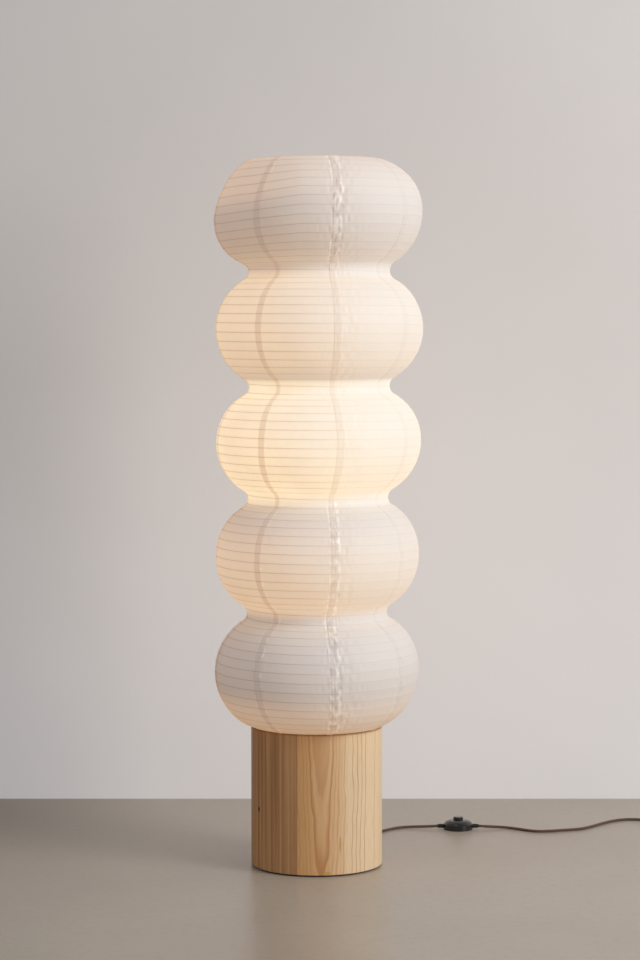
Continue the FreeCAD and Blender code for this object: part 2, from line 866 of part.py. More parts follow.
def frame_hub():
    low = crossbar_bottom() - hub_height
    hub = cylinder(hub_diameter / 2, low, crossbar_bottom())
    hub = hub.makeChamfer(hub_bevel, [e for e in hub.Edges if e.Vertexes[0].Point.z < low + 1])
    pin = cylinder(hub_pin_diameter / 2, crossbar_bottom(), crossbar_bottom() + hub_pin_height)
    tip = [e for e in pin.Edges if e.Vertexes[0].Point.z > crossbar_bottom() + 1]
    pin = pin.makeChamfer(hub_pin_bevel, tip)
    hub = hub.fuse(pin)
    bore = frame_wire_diameter / 2 + fit_clearance
    for side in (-1, 1):
        start = Vector(side * (hub_diameter / 2 - hub_bore_depth - fit_clearance), 0, frame_top())
        hub = hub.cut(Part.makeCylinder(bore, hub_bore_depth + 2, start, RIGHT * side))
    return hub.removeSplitter()


# ---- lantern ----
def lantern_point(length, depth):
    """Radius and height at a length up the paper from its lower edge, depth inside its outer face."""
    if length <= bottom_length:
        angle = (length - bottom_length) / bubble_round
        return around_bubble(first_equator, angle, depth)
    past = length - bottom_length
    wave = min(math.floor(past / wave_length), bubble_count - 1)
    past -= wave * wave_length
    equator = first_equator + wave * bubble_pitch
    swell = bubble_round * tangent_angle
    hollow = neck_round * tangent_angle
    if wave == bubble_count - 1 or past <= swell:
        return around_bubble(equator, past / bubble_round, depth)
    if past <= swell + 2 * hollow:
        angle = (past - swell - hollow) / neck_round
        curve = neck_round + depth
        radius = neck_radius + neck_round - curve * math.cos(angle)
        return radius, equator + half_pitch + curve * math.sin(angle)
    return around_bubble(equator + bubble_pitch, (past - wave_length) / bubble_round, depth)


def around_bubble(equator, angle, depth):
    curve = bubble_round - depth
    return round_centre + curve * math.cos(angle), equator + curve * math.sin(angle)


def lantern_arcs(depth):
    """The outline of the paper at one depth, as an arc for each bubble and each neck."""
    swell = bubble_round * tangent_angle
    hollow = neck_round * tangent_angle
    cuts = [0.0]
    at = bottom_length + swell
    for k in range(bubble_count - 1):
        cuts += [at, at + 2 * hollow]
        at += wave_length
    cuts.append(paper_length)
    arcs = []
    for low, high in zip(cuts, cuts[1:]):
        ends = [lantern_point(s, depth) for s in (low, (low + high) / 2, high)]
        arcs.append(Part.Arc(*[Vector(r, 0, z) for r, z in ends]).toShape())
    return arcs


def paper_sector(outer_depth, inner_depth, start, sweep):
    """A strip of the lantern's wall between two depths, from one angle round to another."""
    outer = lantern_arcs(outer_depth)
    inner = lantern_arcs(inner_depth)
    ends = []
    for length in (0.0, paper_length):
        corners = [lantern_point(length, depth) for depth in (outer_depth, inner_depth)]
        ends.append(Part.LineSegment(*[Vector(r, 0, z) for r, z in corners]).toShape())
    wire = Part.Wire(outer + [ends[1]] + inner[::-1] + [ends[0]])
    strip = Part.Face(wire).revolve(Vector(0, 0, 0), UP, sweep)
    return turned(strip, start)


def paper_gore(number):
    """One strip of paper from mouth to mouth, whose one edge steps up and laps over the next strip."""
    share = 360.0 / gore_count
    start = first_seam + number * share
    lap_sweep = math.degrees(lap_width / bubble_radius)
    step_start = start + share - gore_gap - lap_step
    step_end = step_start + lap_step
    sheet = paper_sector(0.0, paper_thickness, start, step_start - start)
    step = paper_sector(-lap_outside, paper_thickness, step_start, lap_step)
    lap = paper_sector(-lap_outside, -lap_gap, step_end, lap_sweep)
    return sheet.fuse([step, lap])


def ring_point(at_top):
    """Middle of a mouth ring's wire, just past the edge of the paper."""
    angle = ring_overrun / bubble_round
    if at_top:
        return around_bubble(last_equator, top_angle + angle, ring_depth)
    return around_bubble(first_equator, -bottom_angle - angle, ring_depth)


def top_ring_height():
    return ring_point(True)[1]


def mouth_ring(at_top):
    radius, height = ring_point(at_top)
    return Part.makeTorus(radius, ring_wire_radius, Vector(0, 0, height))


def top_crossbar():
    """A flat bar under the top ring, with an eye that sits over the hub's pin."""
    reach = ring_point(True)[0] + crossbar_end
    low = crossbar_bottom()
    high = low + crossbar_thickness
    bar = block(Vector(-reach, -crossbar_width / 2, low), Vector(reach, crossbar_width / 2, high))
    bar = bar.makeFillet(crossbar_width * 0.4, [e for e in bar.Edges if abs(e.tangentAt(0).z) > 0.9])
    eye = cylinder(hub_diameter / 2, low, high)
    return bar.fuse(eye).cut(cylinder(hub_pin_diameter / 2 + hub_pin_clearance, low - 1, high + 1))


def rib_point(turn):
    """Middle of the rib's wire after a number of turns, falling as it goes round to the left."""
    length = rib_end + (paper_length - 2 * rib_end) * turn / rib_turns
    radius, height = lantern_point(length, rib_depth)
    angle = -2 * math.pi * turn
    return Vector(radius * math.cos(angle), radius * math.sin(angle), height)


def rib_spiral():
    """The one wire that winds from mouth to mouth inside the paper."""
    stations = [k / 2 for k in range(2 * rib_turns + 1)]
    wire = wound_path(rib_point, stations, rib_diameter, rib_diameter)
    solid, share = swept(wire, rib_diameter / 2, rib_sides)
    outline = Part.Wire(lantern_arcs(0.0))
    gaps = []
    for edge in wire.OrderedEdges[1:-1]:
        point = edge.valueAt((edge.FirstParameter + edge.LastParameter) / 2)
        beside = Part.Vertex(math.hypot(point.x, point.y), 0, point.z)
        gaps.append(outline.distToShape(beside)[0] - paper_thickness - rib_diameter / 2)
    print("rib spiral: %d turns, volume over section times length %.5f, gap to the paper %.2f to %.2f"
          % (rib_turns, share, min(gaps), max(gaps)))
    return solid


# ---- foot switch ----
def switch_base():
    plate = cylinder(switch_diameter / 2, 0, switch_base_height)
    plate = plate.makeChamfer(switch_bevel, [e for e in plate.Edges if e.Vertexes[0].Point.z < 1])
    recess = cylinder(switch_diameter / 2 - 2 * switch_wall, switch_wall, switch_base_height + 1)
    plate = plate.cut(recess)
    plate = cut_entries(plate)
    for x, y in switch_screw_places():
        post = cylinder(switch_post_diameter / 2, switch_wall / 2, switch_base_height, x, y)
        plate = plate.fuse(post)
        plate = plate.cut(move(flat_head_hole(small_screw_diameter, switch_screw_length()), x, y, 0))
    return move(plate, switch_x, switch_y)


def relief_start():
    """How far from the middle of the switch its strain reliefs begin."""
    return switch_diameter / 2 - 4 * switch_wall


def cut_entries(shape):
    """The two round ways in for the strain reliefs."""
    for side in (-1, 1):
        start = Vector(side * relief_start(), 0, switch_entry_height)
        bore = switch_relief_diameter / 2 + relief_clearance
        shape = shape.cut(Part.makeCylinder(bore, switch_diameter, start, RIGHT * side))
    return shape


def switch_screw_places():
    reach = switch_diameter / 2 - 2 * switch_wall - switch_post_inset
    return [(0, -reach), (0, reach)]


def switch_screw_length():
    return switch_base_height + switch_screw_bite


def dome_face(shrink, low):
    """The half outline of the switch's cover, drawn in by shrink."""
    radius = switch_diameter / 2 - shrink
    top = switch_height - shrink
    shoulder = low + (top - low) * switch_shoulder
    points = [Vector(0, 0, low), Vector(radius, 0, low), Vector(radius, 0, shoulder)]
    flat = button_diameter / 2 + switch_flat
    bulge = Vector((radius + flat) / 2 + switch_bulge, 0, (shoulder + top) / 2 + switch_bulge)
    rim = Vector(flat, 0, top)
    middle = Vector(0, 0, top)
    edges = [Part.LineSegment(points[0], points[1]), Part.LineSegment(points[1], points[2]),
             Part.Arc(points[2], bulge, rim), Part.LineSegment(rim, middle),
             Part.LineSegment(middle, points[0])]
    return Part.Face(Part.Wire([edge.toShape() for edge in edges]))


def switch_cover():
    outer = dome_face(0.0, switch_base_height).revolve(Vector(0, 0, 0), UP, 360)
    inner = dome_face(switch_wall, switch_base_height - switch_wall).revolve(Vector(0, 0, 0), UP, 360)
    cover = outer.cut(inner)
    cover = cover.cut(cylinder(button_diameter / 2 + button_clearance, switch_base_height, switch_height + 1))
    cover = cut_entries(cover)
    for x, y in switch_screw_places():
        post = cylinder(switch_post_diameter / 2, switch_base_height, switch_height - switch_wall * 1.5, x, y)
        post = post.common(outer)
        cover = cover.fuse(post)
        cover = cover.cut(move(flat_head_hole(small_screw_diameter, switch_screw_length()), x, y, 0))
    return move(cover.removeSplitter(), switch_x, switch_y)


def switch_screws():
    screw = flat_head_screw(small_screw_diameter, switch_screw_length())
    return [move(screw, switch_x + x, switch_y + y) for x, y in switch_screw_places()]


def switch_block():
    """The contact block on the floor of the switch, under the spring."""
    low = Vector(-block_width / 2, -block_depth / 2, switch_wall)
    high = Vector(block_width / 2, block_depth / 2, switch_wall + block_height)
    return move(block(low, high), switch_x, switch_y)


def flange_low():
    """Underside of the button's flange, which stops under the roof of the cover at rest."""
    return switch_height - switch_wall - button_flange


def switch_spring():
    outer = spring_diameter / 2
    return tube(outer, outer - spring_wall, switch_wall + block_height, flange_low() - spring_gap, switch_x,
                switch_y)


def switch_button():
    radius = button_diameter / 2
    low = flange_low()
    roof = low + button_flange - button_clearance
    flange = radius + button_flange_reach
    button = lathe([(0, low), (flange, low), (flange, roof), (radius, roof), (radius, button_height),
                    (0, button_height)])
    button = button.makeFillet(button_rim, [e for e in button.Edges if e.BoundBox.ZMin > button_height - 0.1])
    return move(button, switch_x, switch_y)


def switch_relief(side):
    """A tapered sleeve where the cord enters the switch."""
    inner = relief_start()
    collar = switch_diameter / 2 + switch_relief_collar
    end = switch_diameter / 2 + switch_relief_length
    body = switch_relief_diameter / 2
    outline = [(lead_bore, inner), (body, inner), (body, collar), (cord_radius + relief_tip_wall, end),
               (lead_bore, end)]
    piece = turned(turned(lathe(outline), 90, BACK), 0 if side > 0 else 180)
    return move(piece, switch_x, switch_y, switch_entry_height)


# ---- cord ----
def cord_to_switch_route():
    """From the nose at the back of the drum, down to the floor and round to the switch."""
    end = switch_x - switch_diameter / 2 - switch_relief_length
    return [Vector(0, nose_end, lead_height), Vector(0, nose_end + 17, lead_height),
            Vector(3, nose_end + 38, lead_height - 11), Vector(11, 210, cord_rest + 4),
            Vector(30, 232, cord_rest), Vector(58, 243, cord_rest), Vector(92, 263, cord_rest),
            Vector(121, 292, cord_rest), Vector(143, 321, cord_rest), Vector(167, 346, cord_rest),
            Vector(196, 353, cord_rest + 0.6), Vector(end - 20, switch_y + 1.5, cord_rest + 2.2),
            Vector(end, switch_y, switch_entry_height)]


def coil_point(turn):
    """Middle of the coiled cord: in on the floor, up a layer where it turns back, and out again on top."""
    middle = coil_end() / 2
    radius = coil_diameter / 2 + coil_step * (abs(turn - middle) - middle / 2)
    share = min(max((turn - middle + coil_climb / 2) / coil_climb, 0.0), 1.0)
    height = cord_rest + coil_rise() * (1 - math.cos(math.pi * share)) / 2
    angle = math.radians(coil_start) - 2 * math.pi * turn
    return Vector(coil_x + radius * math.cos(angle), coil_y + radius * math.sin(angle), height)


def coil_rise():
    return plug_thickness / 2 - cord_rest


def coil_end():
    """Number of turns at which the cord leaves the coil towards the front."""
    return coil_turn_count + coil_start / 360.0


def coil_ends():
    step = 1e-4
    first = coil_point(0)
    way = coil_point(step) - coil_point(0)
    way.normalize()
    last = coil_point(coil_end())
    out = coil_point(coil_end()) - coil_point(coil_end() - step)
    out.normalize()
    return first - way * cord_diameter, way, last + out * coil_tail, out


def cord_coil():
    count = math.ceil(coil_end() * 4)
    stations = [coil_end() * k / count for k in range(count + 1)]
    wire = wound_path(coil_point, stations, cord_diameter, coil_tail)
    solid, share = swept(wire, cord_radius)
    print("coil: %.2f turns, length %.0f, volume over section times length %.5f, least gap to itself %.2f"
          % (coil_end(), wire.Length, share, self_gap(wire)))
    return solid


def self_gap(wire):
    """The least gap between two stretches of the coil, measured on points along its middle."""
    points = wire.discretize(Distance=2.0)
    apart = int(6 * cord_diameter / 2.0)
    least = min((points[i] - points[j]).Length
                for i in range(len(points)) for j in range(i + apart, len(points)))
    return least - cord_diameter


def cord_from_switch_route():
    """From the switch along the floor, in the curves it lies in, to the coil."""
    start = switch_x + switch_diameter / 2 + switch_relief_length
    first, way, last, out = coil_ends()
    return [Vector(start, switch_y, switch_entry_height), Vector(start + 18, switch_y + 1.5, cord_rest + 2.2),
            Vector(384, 350, cord_rest + 0.4), Vector(417, 331, cord_rest), Vector(447, 306, cord_rest),
            Vector(478, 309, cord_rest), Vector(512, 321, cord_rest), Vector(541, 329, cord_rest),
            Vector(567, 354, cord_rest), Vector(594, 391, cord_rest), Vector(625, 424, cord_rest),
            Vector(654, 438, cord_rest), Vector(690, 431, cord_rest), first - way * 24, first]


def internal_lead_route():
    """From the bushing under the clamp, up to the pole and through it to the lampholder."""
    points = [Vector(0, nose_end, lead_height)]
    reach = lead_turn / math.cos(math.radians(15.0))
    for degrees in (15.0, 45.0, 75.0):
        angle = math.radians(degrees)
        rise = lead_turn - reach * math.cos(angle)
        points.append(Vector(0, lead_turn - reach * math.sin(angle), lead_height + rise))
    return points + [Vector(0, 0.6, lead_height + 2.5 * lead_turn), Vector(0, 0, top_plate_bottom),
                     Vector(0, 0.4, nipple_top() - 0.5)]


# ---- plug ----
def plug_frame(shape):
    """Lay a plug that was drawn along +X at the coil's loose end."""
    first, way, last, out = coil_ends()
    angle = math.degrees(math.atan2(out.y, out.x))
    return move(turned(shape, angle), last.x, last.y, last.z)


def plug_body():
    relief = plug_relief_length
    nose = cord_radius + relief_tip_wall
    taper = lathe([(0, 0.0), (nose, 0.0), (plug_relief_diameter / 2, relief), (0, relief)])
    taper = turned(taper, 90, BACK)
    body = block(Vector(relief, -plug_width / 2, -plug_thickness / 2),
                 Vector(relief + plug_length, plug_width / 2, plug_thickness / 2))
    body = body.makeFillet(plug_round, [e for e in body.Edges if abs(e.tangentAt(0).x) > 0.9])
    body = body.makeFillet(plug_shoulder_round, [e for e in body.Edges if e.BoundBox.XMax < relief + 0.1])
    plug = body.fuse(taper)
    for side in (-1, 1):
        plug = plug.cut(blade_block(side, blade_clearance))
    return plug_frame(plug.removeSplitter())


def blade_block(side, grow):
    start = plug_relief_length + plug_length - blade_seat
    low = Vector(start - grow, side * blade_spacing / 2 - blade_thickness / 2 - grow, -blade_width / 2 - grow)
    high = Vector(start + blade_seat + blade_length, side * blade_spacing / 2 + blade_thickness / 2 + grow,
                  blade_width / 2 + grow)
    return block(low, high)


def plug_blades():
    return [plug_frame(blade_block(side, 0.0)) for side in (-1, 1)]


def main():
    os.makedirs("parts", exist_ok=True)

    save("foot_pad", foot_pad())
    save("base_drum", base_drum())
    save("base_bottom_plate", bottom_plate())
    save("base_top_plate", top_plate())
    save("bottom_plate_screws", bottom_plate_screws())
    save("top_plate_screws", top_plate_screws())
    save("ballast_disc", ballast())
    save("ballast_bolts", ballast_bolts())
    save("cord_clamp", cord_clamp())
    save("cord_clamp_screws", clamp_screws())
    save("cord_bushing", cord_bushing())
    save("internal_lead", routed_tube("internal lead", internal_lead_route(), cord_diameter))

    save("pole_flange", pole_flange())
    save("pole_flange_screws", flange_screws())
    save("pole_lower", tube(pole_radius, pole_bore, pole_bottom, pole_joint_height))
    save("pole_upper", tube(pole_radius, pole_bore, pole_joint_height, pole_top))
    save("pole_coupler", pole_coupler())
    save("pole_coupler_screws", coupler_screws())
    save("pole_top_bush", top_bush())
    save("threaded_nipple", nipple())
    save("lock_nut", hexagon(lock_nut_width, saddle_top, holder_bottom, nipple_radius + thread_clearance))

    save("lampholder_cap", holder_cap())
    save("lampholder_shell", holder_shell())
    save("lampholder_insulator", holder_insulator())
    save("lampholder_sleeve", sleeve())
    save("lampholder_contact", centre_contact())
    save("bulb_contact", bulb_contact())
    save("bulb_tip_insulator", bulb_tip_insulator())
    save("bulb_cap", bulb_cap())
    save("bulb_collar", bulb_collar())
    save("bulb_led_board", led_board())
    save("bulb_globe", bulb_globe())

    save("frame_saddle", frame_saddle())
    save("frame_uprights", [frame_upright(-1), frame_upright(1)])
    save("frame_nuts", frame_nuts())
    save("frame_hub", frame_hub())

    save("lantern_top_ring", mouth_ring(True))
    save("lantern_bottom_ring", mouth_ring(False))
    save("lantern_crossbar", top_crossbar())
    save("rib_spiral", rib_spiral())
    for number in range(gore_count):
        save("paper_gore_%d" % (number + 1), paper_gore(number))

    save("switch_base", switch_base())
    save("switch_cover", switch_cover())
    save("switch_screws", switch_screws())
    save("switch_contact_block", switch_block())
    save("switch_spring", switch_spring())
    save("switch_button", switch_button())
    save("switch_reliefs", [switch_relief(-1), switch_relief(1)])
    save("cord_to_switch", routed_tube("cord to switch", cord_to_switch_route(), cord_diameter))
    save("cord_from_switch", routed_tube("cord from switch", cord_from_switch_route(), cord_diameter))
    save("cord_coil", cord_coil())
    save("plug_body", plug_body())
    save("plug_blades", plug_blades())
    print("paper from %.1f to %.1f, %.1f long" % (lowest_paper, highest_paper, paper_length))
    print("bulb tip %.1f, pole top %.1f, crossbar %.1f" % (bulb_tip, pole_top, crossbar_bottom()))
    tip = plug_frame(Part.Vertex(plug_relief_length + plug_length + blade_length, 0, 0)).Point
    print("plug blades at %.2f %.2f %.2f" % (tip.x, tip.y, tip.z))


main()
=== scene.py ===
import json
import math

import bpy
import numpy as np
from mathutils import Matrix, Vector


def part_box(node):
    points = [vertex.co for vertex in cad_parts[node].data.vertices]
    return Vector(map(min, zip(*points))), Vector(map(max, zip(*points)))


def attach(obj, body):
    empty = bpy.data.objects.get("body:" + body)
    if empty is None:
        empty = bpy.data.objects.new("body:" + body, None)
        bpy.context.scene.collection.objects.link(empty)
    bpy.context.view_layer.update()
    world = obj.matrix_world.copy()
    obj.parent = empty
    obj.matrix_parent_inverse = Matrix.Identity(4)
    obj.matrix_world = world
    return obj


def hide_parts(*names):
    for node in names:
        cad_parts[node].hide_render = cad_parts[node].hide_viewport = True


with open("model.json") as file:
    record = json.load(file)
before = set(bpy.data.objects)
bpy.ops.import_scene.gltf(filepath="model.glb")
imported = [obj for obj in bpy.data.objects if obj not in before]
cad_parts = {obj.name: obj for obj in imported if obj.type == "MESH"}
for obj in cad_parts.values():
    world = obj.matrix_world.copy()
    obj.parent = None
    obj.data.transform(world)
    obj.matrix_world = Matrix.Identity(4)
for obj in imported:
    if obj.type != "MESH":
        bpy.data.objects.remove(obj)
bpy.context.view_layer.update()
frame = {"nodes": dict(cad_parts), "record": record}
nodes = frame["nodes"]
scene = bpy.context.scene
scene.view_settings.view_transform = "Standard"
mm = 0.001
print("frame loaded:", len(nodes), "nodes")

# the camera stands where the photographer stood, a little above the middle of the lamp
view = {
    "place": (0.0065, -4.885, 1.025),
    "pitch": 3.31,          # degrees down
    "lens": 95.8,
    "sensor": 36.0,         # along the long side of the picture
    "farthest": 60.0,
}


def makeCamera():
    camera = bpy.data.cameras.new("camera")
    camera.lens = view["lens"]
    camera.sensor_width = view["sensor"]
    camera.clip_end = view["farthest"]
    stand = bpy.data.objects.new("camera", camera)
    stand.location = view["place"]
    stand.rotation_euler = (math.radians(90.0 - view["pitch"]), 0.0, 0.0)
    scene.collection.objects.link(stand)
    scene.camera = stand


makeCamera()


# shader maths: a signal is one output of a node, and sums and products of signals add Math nodes
class Signal:
    def __init__(self, finish, socket):
        self.finish = finish
        self.socket = socket

    def maths(self, operation, *values):
        return self.finish.node("ShaderNodeMath", {"operation": operation}, dict(enumerate(values)))

    def __add__(self, other):
        return self.maths("ADD", self, other)

    def __radd__(self, other):
        return self.maths("ADD", other, self)

    def __sub__(self, other):
        return self.maths("SUBTRACT", self, other)

    def __rsub__(self, other):
        return self.maths("SUBTRACT", other, self)

    def __mul__(self, other):
        return self.maths("MULTIPLY", self, other)

    def __rmul__(self, other):
        return self.maths("MULTIPLY", other, self)

    def __truediv__(self, other):
        return self.maths("DIVIDE", self, other)

    def __rtruediv__(self, other):
        return self.maths("DIVIDE", other, self)

    def __pow__(self, other):
        return self.maths("POWER", self, other)

    def __neg__(self):
        return self.maths("MULTIPLY", self, -1.0)


class Finish:
    # one material, with the sockets of its shader that stay the same all over given by name
    def __init__(self, name, **fixed):
        self.material = bpy.data.materials.new(name)
        self.material.use_nodes = True
        self.tree = self.material.node_tree
        self.shader = self.tree.nodes["Principled BSDF"]
        for socket, value in fixed.items():
            self.set(self.shader.inputs[socket.replace("_", " ")], value)

    def set(self, socket, value):
        if isinstance(value, Signal):
            self.tree.links.new(value.socket, socket)
        elif socket.type == "RGBA" and len(value) == 3:
            socket.default_value = (*value, 1.0)
        else:
            socket.default_value = value

    def node(self, kind, settings=None, sockets=None, out=0):
        made = self.tree.nodes.new(kind)
        for name, value in (settings or {}).items():
            setattr(made, name, value)
        for name, value in (sockets or {}).items():
            self.set(made.inputs[name], value)
        if isinstance(out, tuple):
            return [Signal(self, made.outputs[k]) for k in out]
        return Signal(self, made.outputs[out])

    def give(self, **varying):
        for socket, value in varying.items():
            self.set(self.shader.inputs[socket.replace("_", " ")], value)
        return self.material

    def place(self):
        return self.node("ShaderNodeTexCoord", out=3)

    def split(self, vector):
        return self.node("ShaderNodeSeparateXYZ", sockets={0: vector}, out=(0, 1, 2))

    def join(self, x, y, z):
        return self.node("ShaderNodeCombineXYZ", sockets={0: x, 1: y, 2: z})

    def colour(self, red, green, blue):
        return self.node("ShaderNodeCombineColor", sockets={0: red, 1: green, 2: blue})

    def attribute(self, name):
        return self.node("ShaderNodeAttribute", {"attribute_name": name}, out="Fac")

    def noise(self, vector, scale, detail=2.0, roughness=0.5):
        sockets = {"Vector": vector, "Scale": scale, "Detail": detail, "Roughness": roughness}
        return self.node("ShaderNodeTexNoise", sockets=sockets)

    def ease(self, value, low, high, start=0.0, end=1.0):
        sockets = {"Value": value, "From Min": low, "From Max": high, "To Min": start, "To Max": end}
        return self.node("ShaderNodeMapRange", {"interpolation_type": "SMOOTHSTEP"}, sockets)

    def mix(self, factor, first, second):
        return self.node("ShaderNodeMix", {"data_type": "RGBA"}, {0: factor, 6: first, 7: second}, out=2)

    def bump(self, height, distance, strength=1.0):
        sockets = {"Height": height, "Distance": distance, "Strength": strength}
        return self.node("ShaderNodeBump", sockets=sockets)


def seen(red, green, blue):
    # the linear colour of one that is read off the picture
    return tuple(c / 12.92 if c <= 0.04045 else ((c + 0.055) / 1.055) ** 2.4 for c in (red, green, blue))


def fract(value):
    return value.maths("FRACT", value)


def sine(value):
    return value.maths("SINE", value)


def away(value):
    return value.maths("ABSOLUTE", value)


def larger(first, second):
    return first.maths("MAXIMUM", first, second)


def newPiece(name, points, faces, body, finish):
    mesh = bpy.data.meshes.new(name)
    mesh.from_pydata(points, [], faces)
    mesh.polygons.foreach_set("use_smooth", [True] * len(mesh.polygons))
    mesh.materials.append(finish)
    piece = bpy.data.objects.new(name, mesh)
    scene.collection.objects.link(piece)
    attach(piece, body)
    return piece


def addAttribute(piece, name, values):
    layer = piece.data.attributes.new(name, "FLOAT", "POINT")
    layer.data.foreach_set("value", np.asarray(values, np.float32).ravel())


# the cord: out of the back of the drum, along the floor to the foot switch and on to the coil
cord = {
    "radius": 2.75 * mm,
    "floor": 2.85 * mm,     # height of its middle where it lies on the floor
    "sides": 14,
    "steps": 8,             # rings of the tube from one point of the route to the next
    "strands": 10,          # plaited strands side by side round the cord, each way
    "strandPitch": 2.6 * mm,
    "lengthToSwitch": 0.352,
    "lengthToPlug": 1.80,
    "dark": seen(0.235, 0.165, 0.13),
    "light": seen(0.50, 0.385, 0.31),
}
toSwitch = [(0, 151, 33.95), (0, 168, 33.95), (3, 189, 22.95), (11, 210, 6.85), (30, 232, 2.85),
            (58, 243, 2.85), (92, 263, 2.85), (121, 292, 2.85), (143, 321, 2.85), (167, 346, 2.85),
            (196, 353, 3.45), (230, 346.5, 5.05), (250, 345, 6.6)]
fromSwitch = [(334, 345, 6.6), (352, 346.5, 5.05), (384, 350, 3.25), (417, 331, 2.85), (447, 306, 2.85),
              (478, 309, 2.85), (512, 321, 2.85), (541, 329, 2.85), (567, 354, 2.85), (594, 391, 2.85),
              (625, 424, 2.85), (654, 438, 2.85), (690, 431, 2.85)]
coil = {
    "middle": (728 * mm, 372 * mm),
    "radius": 34 * mm,      # at the middle of the turns
    "step": 6.1 * mm,       # from one turn to the next
    "climb": 0.5,           # turns taken to climb to the upper layer
    "start": math.radians(67.0),
    "turns": 6 + 67 / 360,
    "rise": 6.15 * mm,
    "pointsPerTurn": 20,
    "leadIn": 24 * mm,      # the last point of the route before the coil
    "tail": 21 * mm,        # straight end that runs into the plug
}


def coilPoint(turn):
    middle = coil["turns"] / 2
    radius = coil["radius"] + coil["step"] * (abs(turn - middle) - middle / 2)
    share = min(max((turn - middle + coil["climb"] / 2) / coil["climb"], 0.0), 1.0)
    height = cord["floor"] + coil["rise"] * (1 - math.cos(math.pi * share)) / 2
    angle = coil["start"] - 2 * math.pi * turn
    return Vector((coil["middle"][0] + radius * math.cos(angle), coil["middle"][1] + radius * math.sin(angle),
                   height))


def coilRoute():
    count = math.ceil(coil["turns"] * coil["pointsPerTurn"])
    turns = [coil["turns"] * k / count for k in range(count + 1)]
    points = [coilPoint(turn) for turn in turns]
    into = (coilPoint(1e-4) - coilPoint(0)).normalized()
    out = (points[-1] - coilPoint(coil["turns"] - 1e-4)).normalized()
    return [points[0] - into * coil["leadIn"]] + points + [points[-1] + out * coil["tail"]]


def smoothRoute(name, points):
    # the line that the cord follows, read from a NURBS curve with the route as its control points
    curve = bpy.data.curves.new(name, "CURVE")
    curve.dimensions = "3D"
    curve.resolution_u = cord["steps"]
    spline = curve.splines.new("NURBS")
    spline.points.add(len(points) - 1)
    for place, point in zip(spline.points, points):
        place.co = (*point, 1.0)
    spline.order_u = 3
    spline.use_endpoint_u = True
    holder = bpy.data.objects.new(name, curve)
    scene.collection.objects.link(holder)
    bpy.context.view_layer.update()
    line = bpy.data.meshes.new_from_object(holder)
    path = [vertex.co.copy() for vertex in line.vertices]
    bpy.data.objects.remove(holder)
    bpy.data.curves.remove(curve)
    bpy.data.meshes.remove(line)
    return path


def tubeAlong(path, radius, sides):
    # rings of points along a path, turned as little as possible from one to the next
    points = []
    across = None
    for k, here in enumerate(path):
        way = (path[min(k + 1, len(path) - 1)] - path[max(k - 1, 0)]).normalized()
        if across is None:
            across = way.cross(Vector((0, 0, 1)) if abs(way.z) < 0.9 else Vector((1, 0, 0)))
        across = (across - way * across.dot(way)).normalized()
        up = way.cross(across)
        for s in range(sides):
            turn = 2 * math.pi * s / sides
            points.append(here + (across * math.cos(turn) + up * math.sin(turn)) * radius)
    faces = []
    last = (len(path) - 1) * sides
    for ring in range(0, last, sides):
        for s in range(sides):
            after = (s + 1) % sides
            faces.append((ring + s, ring + after, ring + sides + after, ring + sides + s))
    faces.append(tuple(range(sides))[::-1])
    faces.append(tuple(range(last, last + sides)))
    return points, faces


def mapTube(piece, path, sides):
    # a UV map in turns round the tube and metres along it
    reach = [0.0]
    for before, after in zip(path, path[1:]):
        reach.append(reach[-1] + (after - before).length)
    layer = piece.data.uv_layers.new(name="tubeMap")
    for face in piece.data.polygons:
        if face.loop_total != 4:
            continue
        corners = [piece.data.loops[k].vertex_index for k in face.loop_indices]
        wraps = max(c % sides for c in corners) == sides - 1 and min(c % sides for c in corners) == 0
        for loop, corner in zip(face.loop_indices, corners):
            side = corner % sides
            turn = sides if wraps and side == 0 else side
            layer.data[loop].uv = (turn / sides, reach[corner // sides])
    return reach[-1]


def braidFinish():
    braid = Finish("braidedCord", Roughness=0.82, Sheen_Weight=0.25, Sheen_Roughness=0.5)
    braid.shader.inputs["Sheen Tint"].default_value = (0.8, 0.66, 0.55, 1.0)
    around, along, _ = braid.split(braid.node("ShaderNodeUVMap", {"uv_map": "tubeMap"}))
    right = around * cord["strands"] + along / cord["strandPitch"]
    left = around * cord["strands"] - along / cord["strandPitch"]
    over = braid.ease(sine(right * math.pi) * sine(left * math.pi), -0.12, 0.12)
    rightBack = away(sine(right * math.pi))
    leftBack = away(sine(left * math.pi))
    thread = over * rightBack + (1 - over) * leftBack
    fibre = braid.noise(braid.join(right, left, along * 90.0), 5.0, 3.0)
    tone = braid.mix(over, cord["dark"], cord["light"])
    shaded = braid.mix(braid.ease(thread, 0.05, 0.8), seen(0.13, 0.09, 0.07), tone)
    wearAndRimShade = braid.mix(braid.ease(fibre, 0.35, 0.75, 0.0, 0.35), shaded, seen(0.56, 0.45, 0.37))
    height = thread + fibre * 0.15
    return braid.give(Base_Color=wearAndRimShade, Normal=braid.bump(height, 0.3 * mm))


def makeCord(name, points, hidden):
    path = smoothRoute(name + "_line", points)
    shape, faces = tubeAlong(path, cord["radius"], cord["sides"])
    piece = newPiece(name, shape, faces, "stand", cordFinish)
    reach = mapTube(piece, path, cord["sides"])
    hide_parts(*hidden)
    2 * cord["radius"]
    print(name, "measures %.3f m" % reach)


cordFinish = braidFinish()
firstRoute = [Vector(p) * mm for p in toSwitch]
secondRoute = [Vector(p) * mm for p in fromSwitch] + coilRoute()
makeCord("braided_cord_to_switch", firstRoute,
         ["cord_to_switch"])
makeCord("braided_cord_to_plug", secondRoute,
         ["cord_from_switch", "cord_coil"])
print("cords laid")

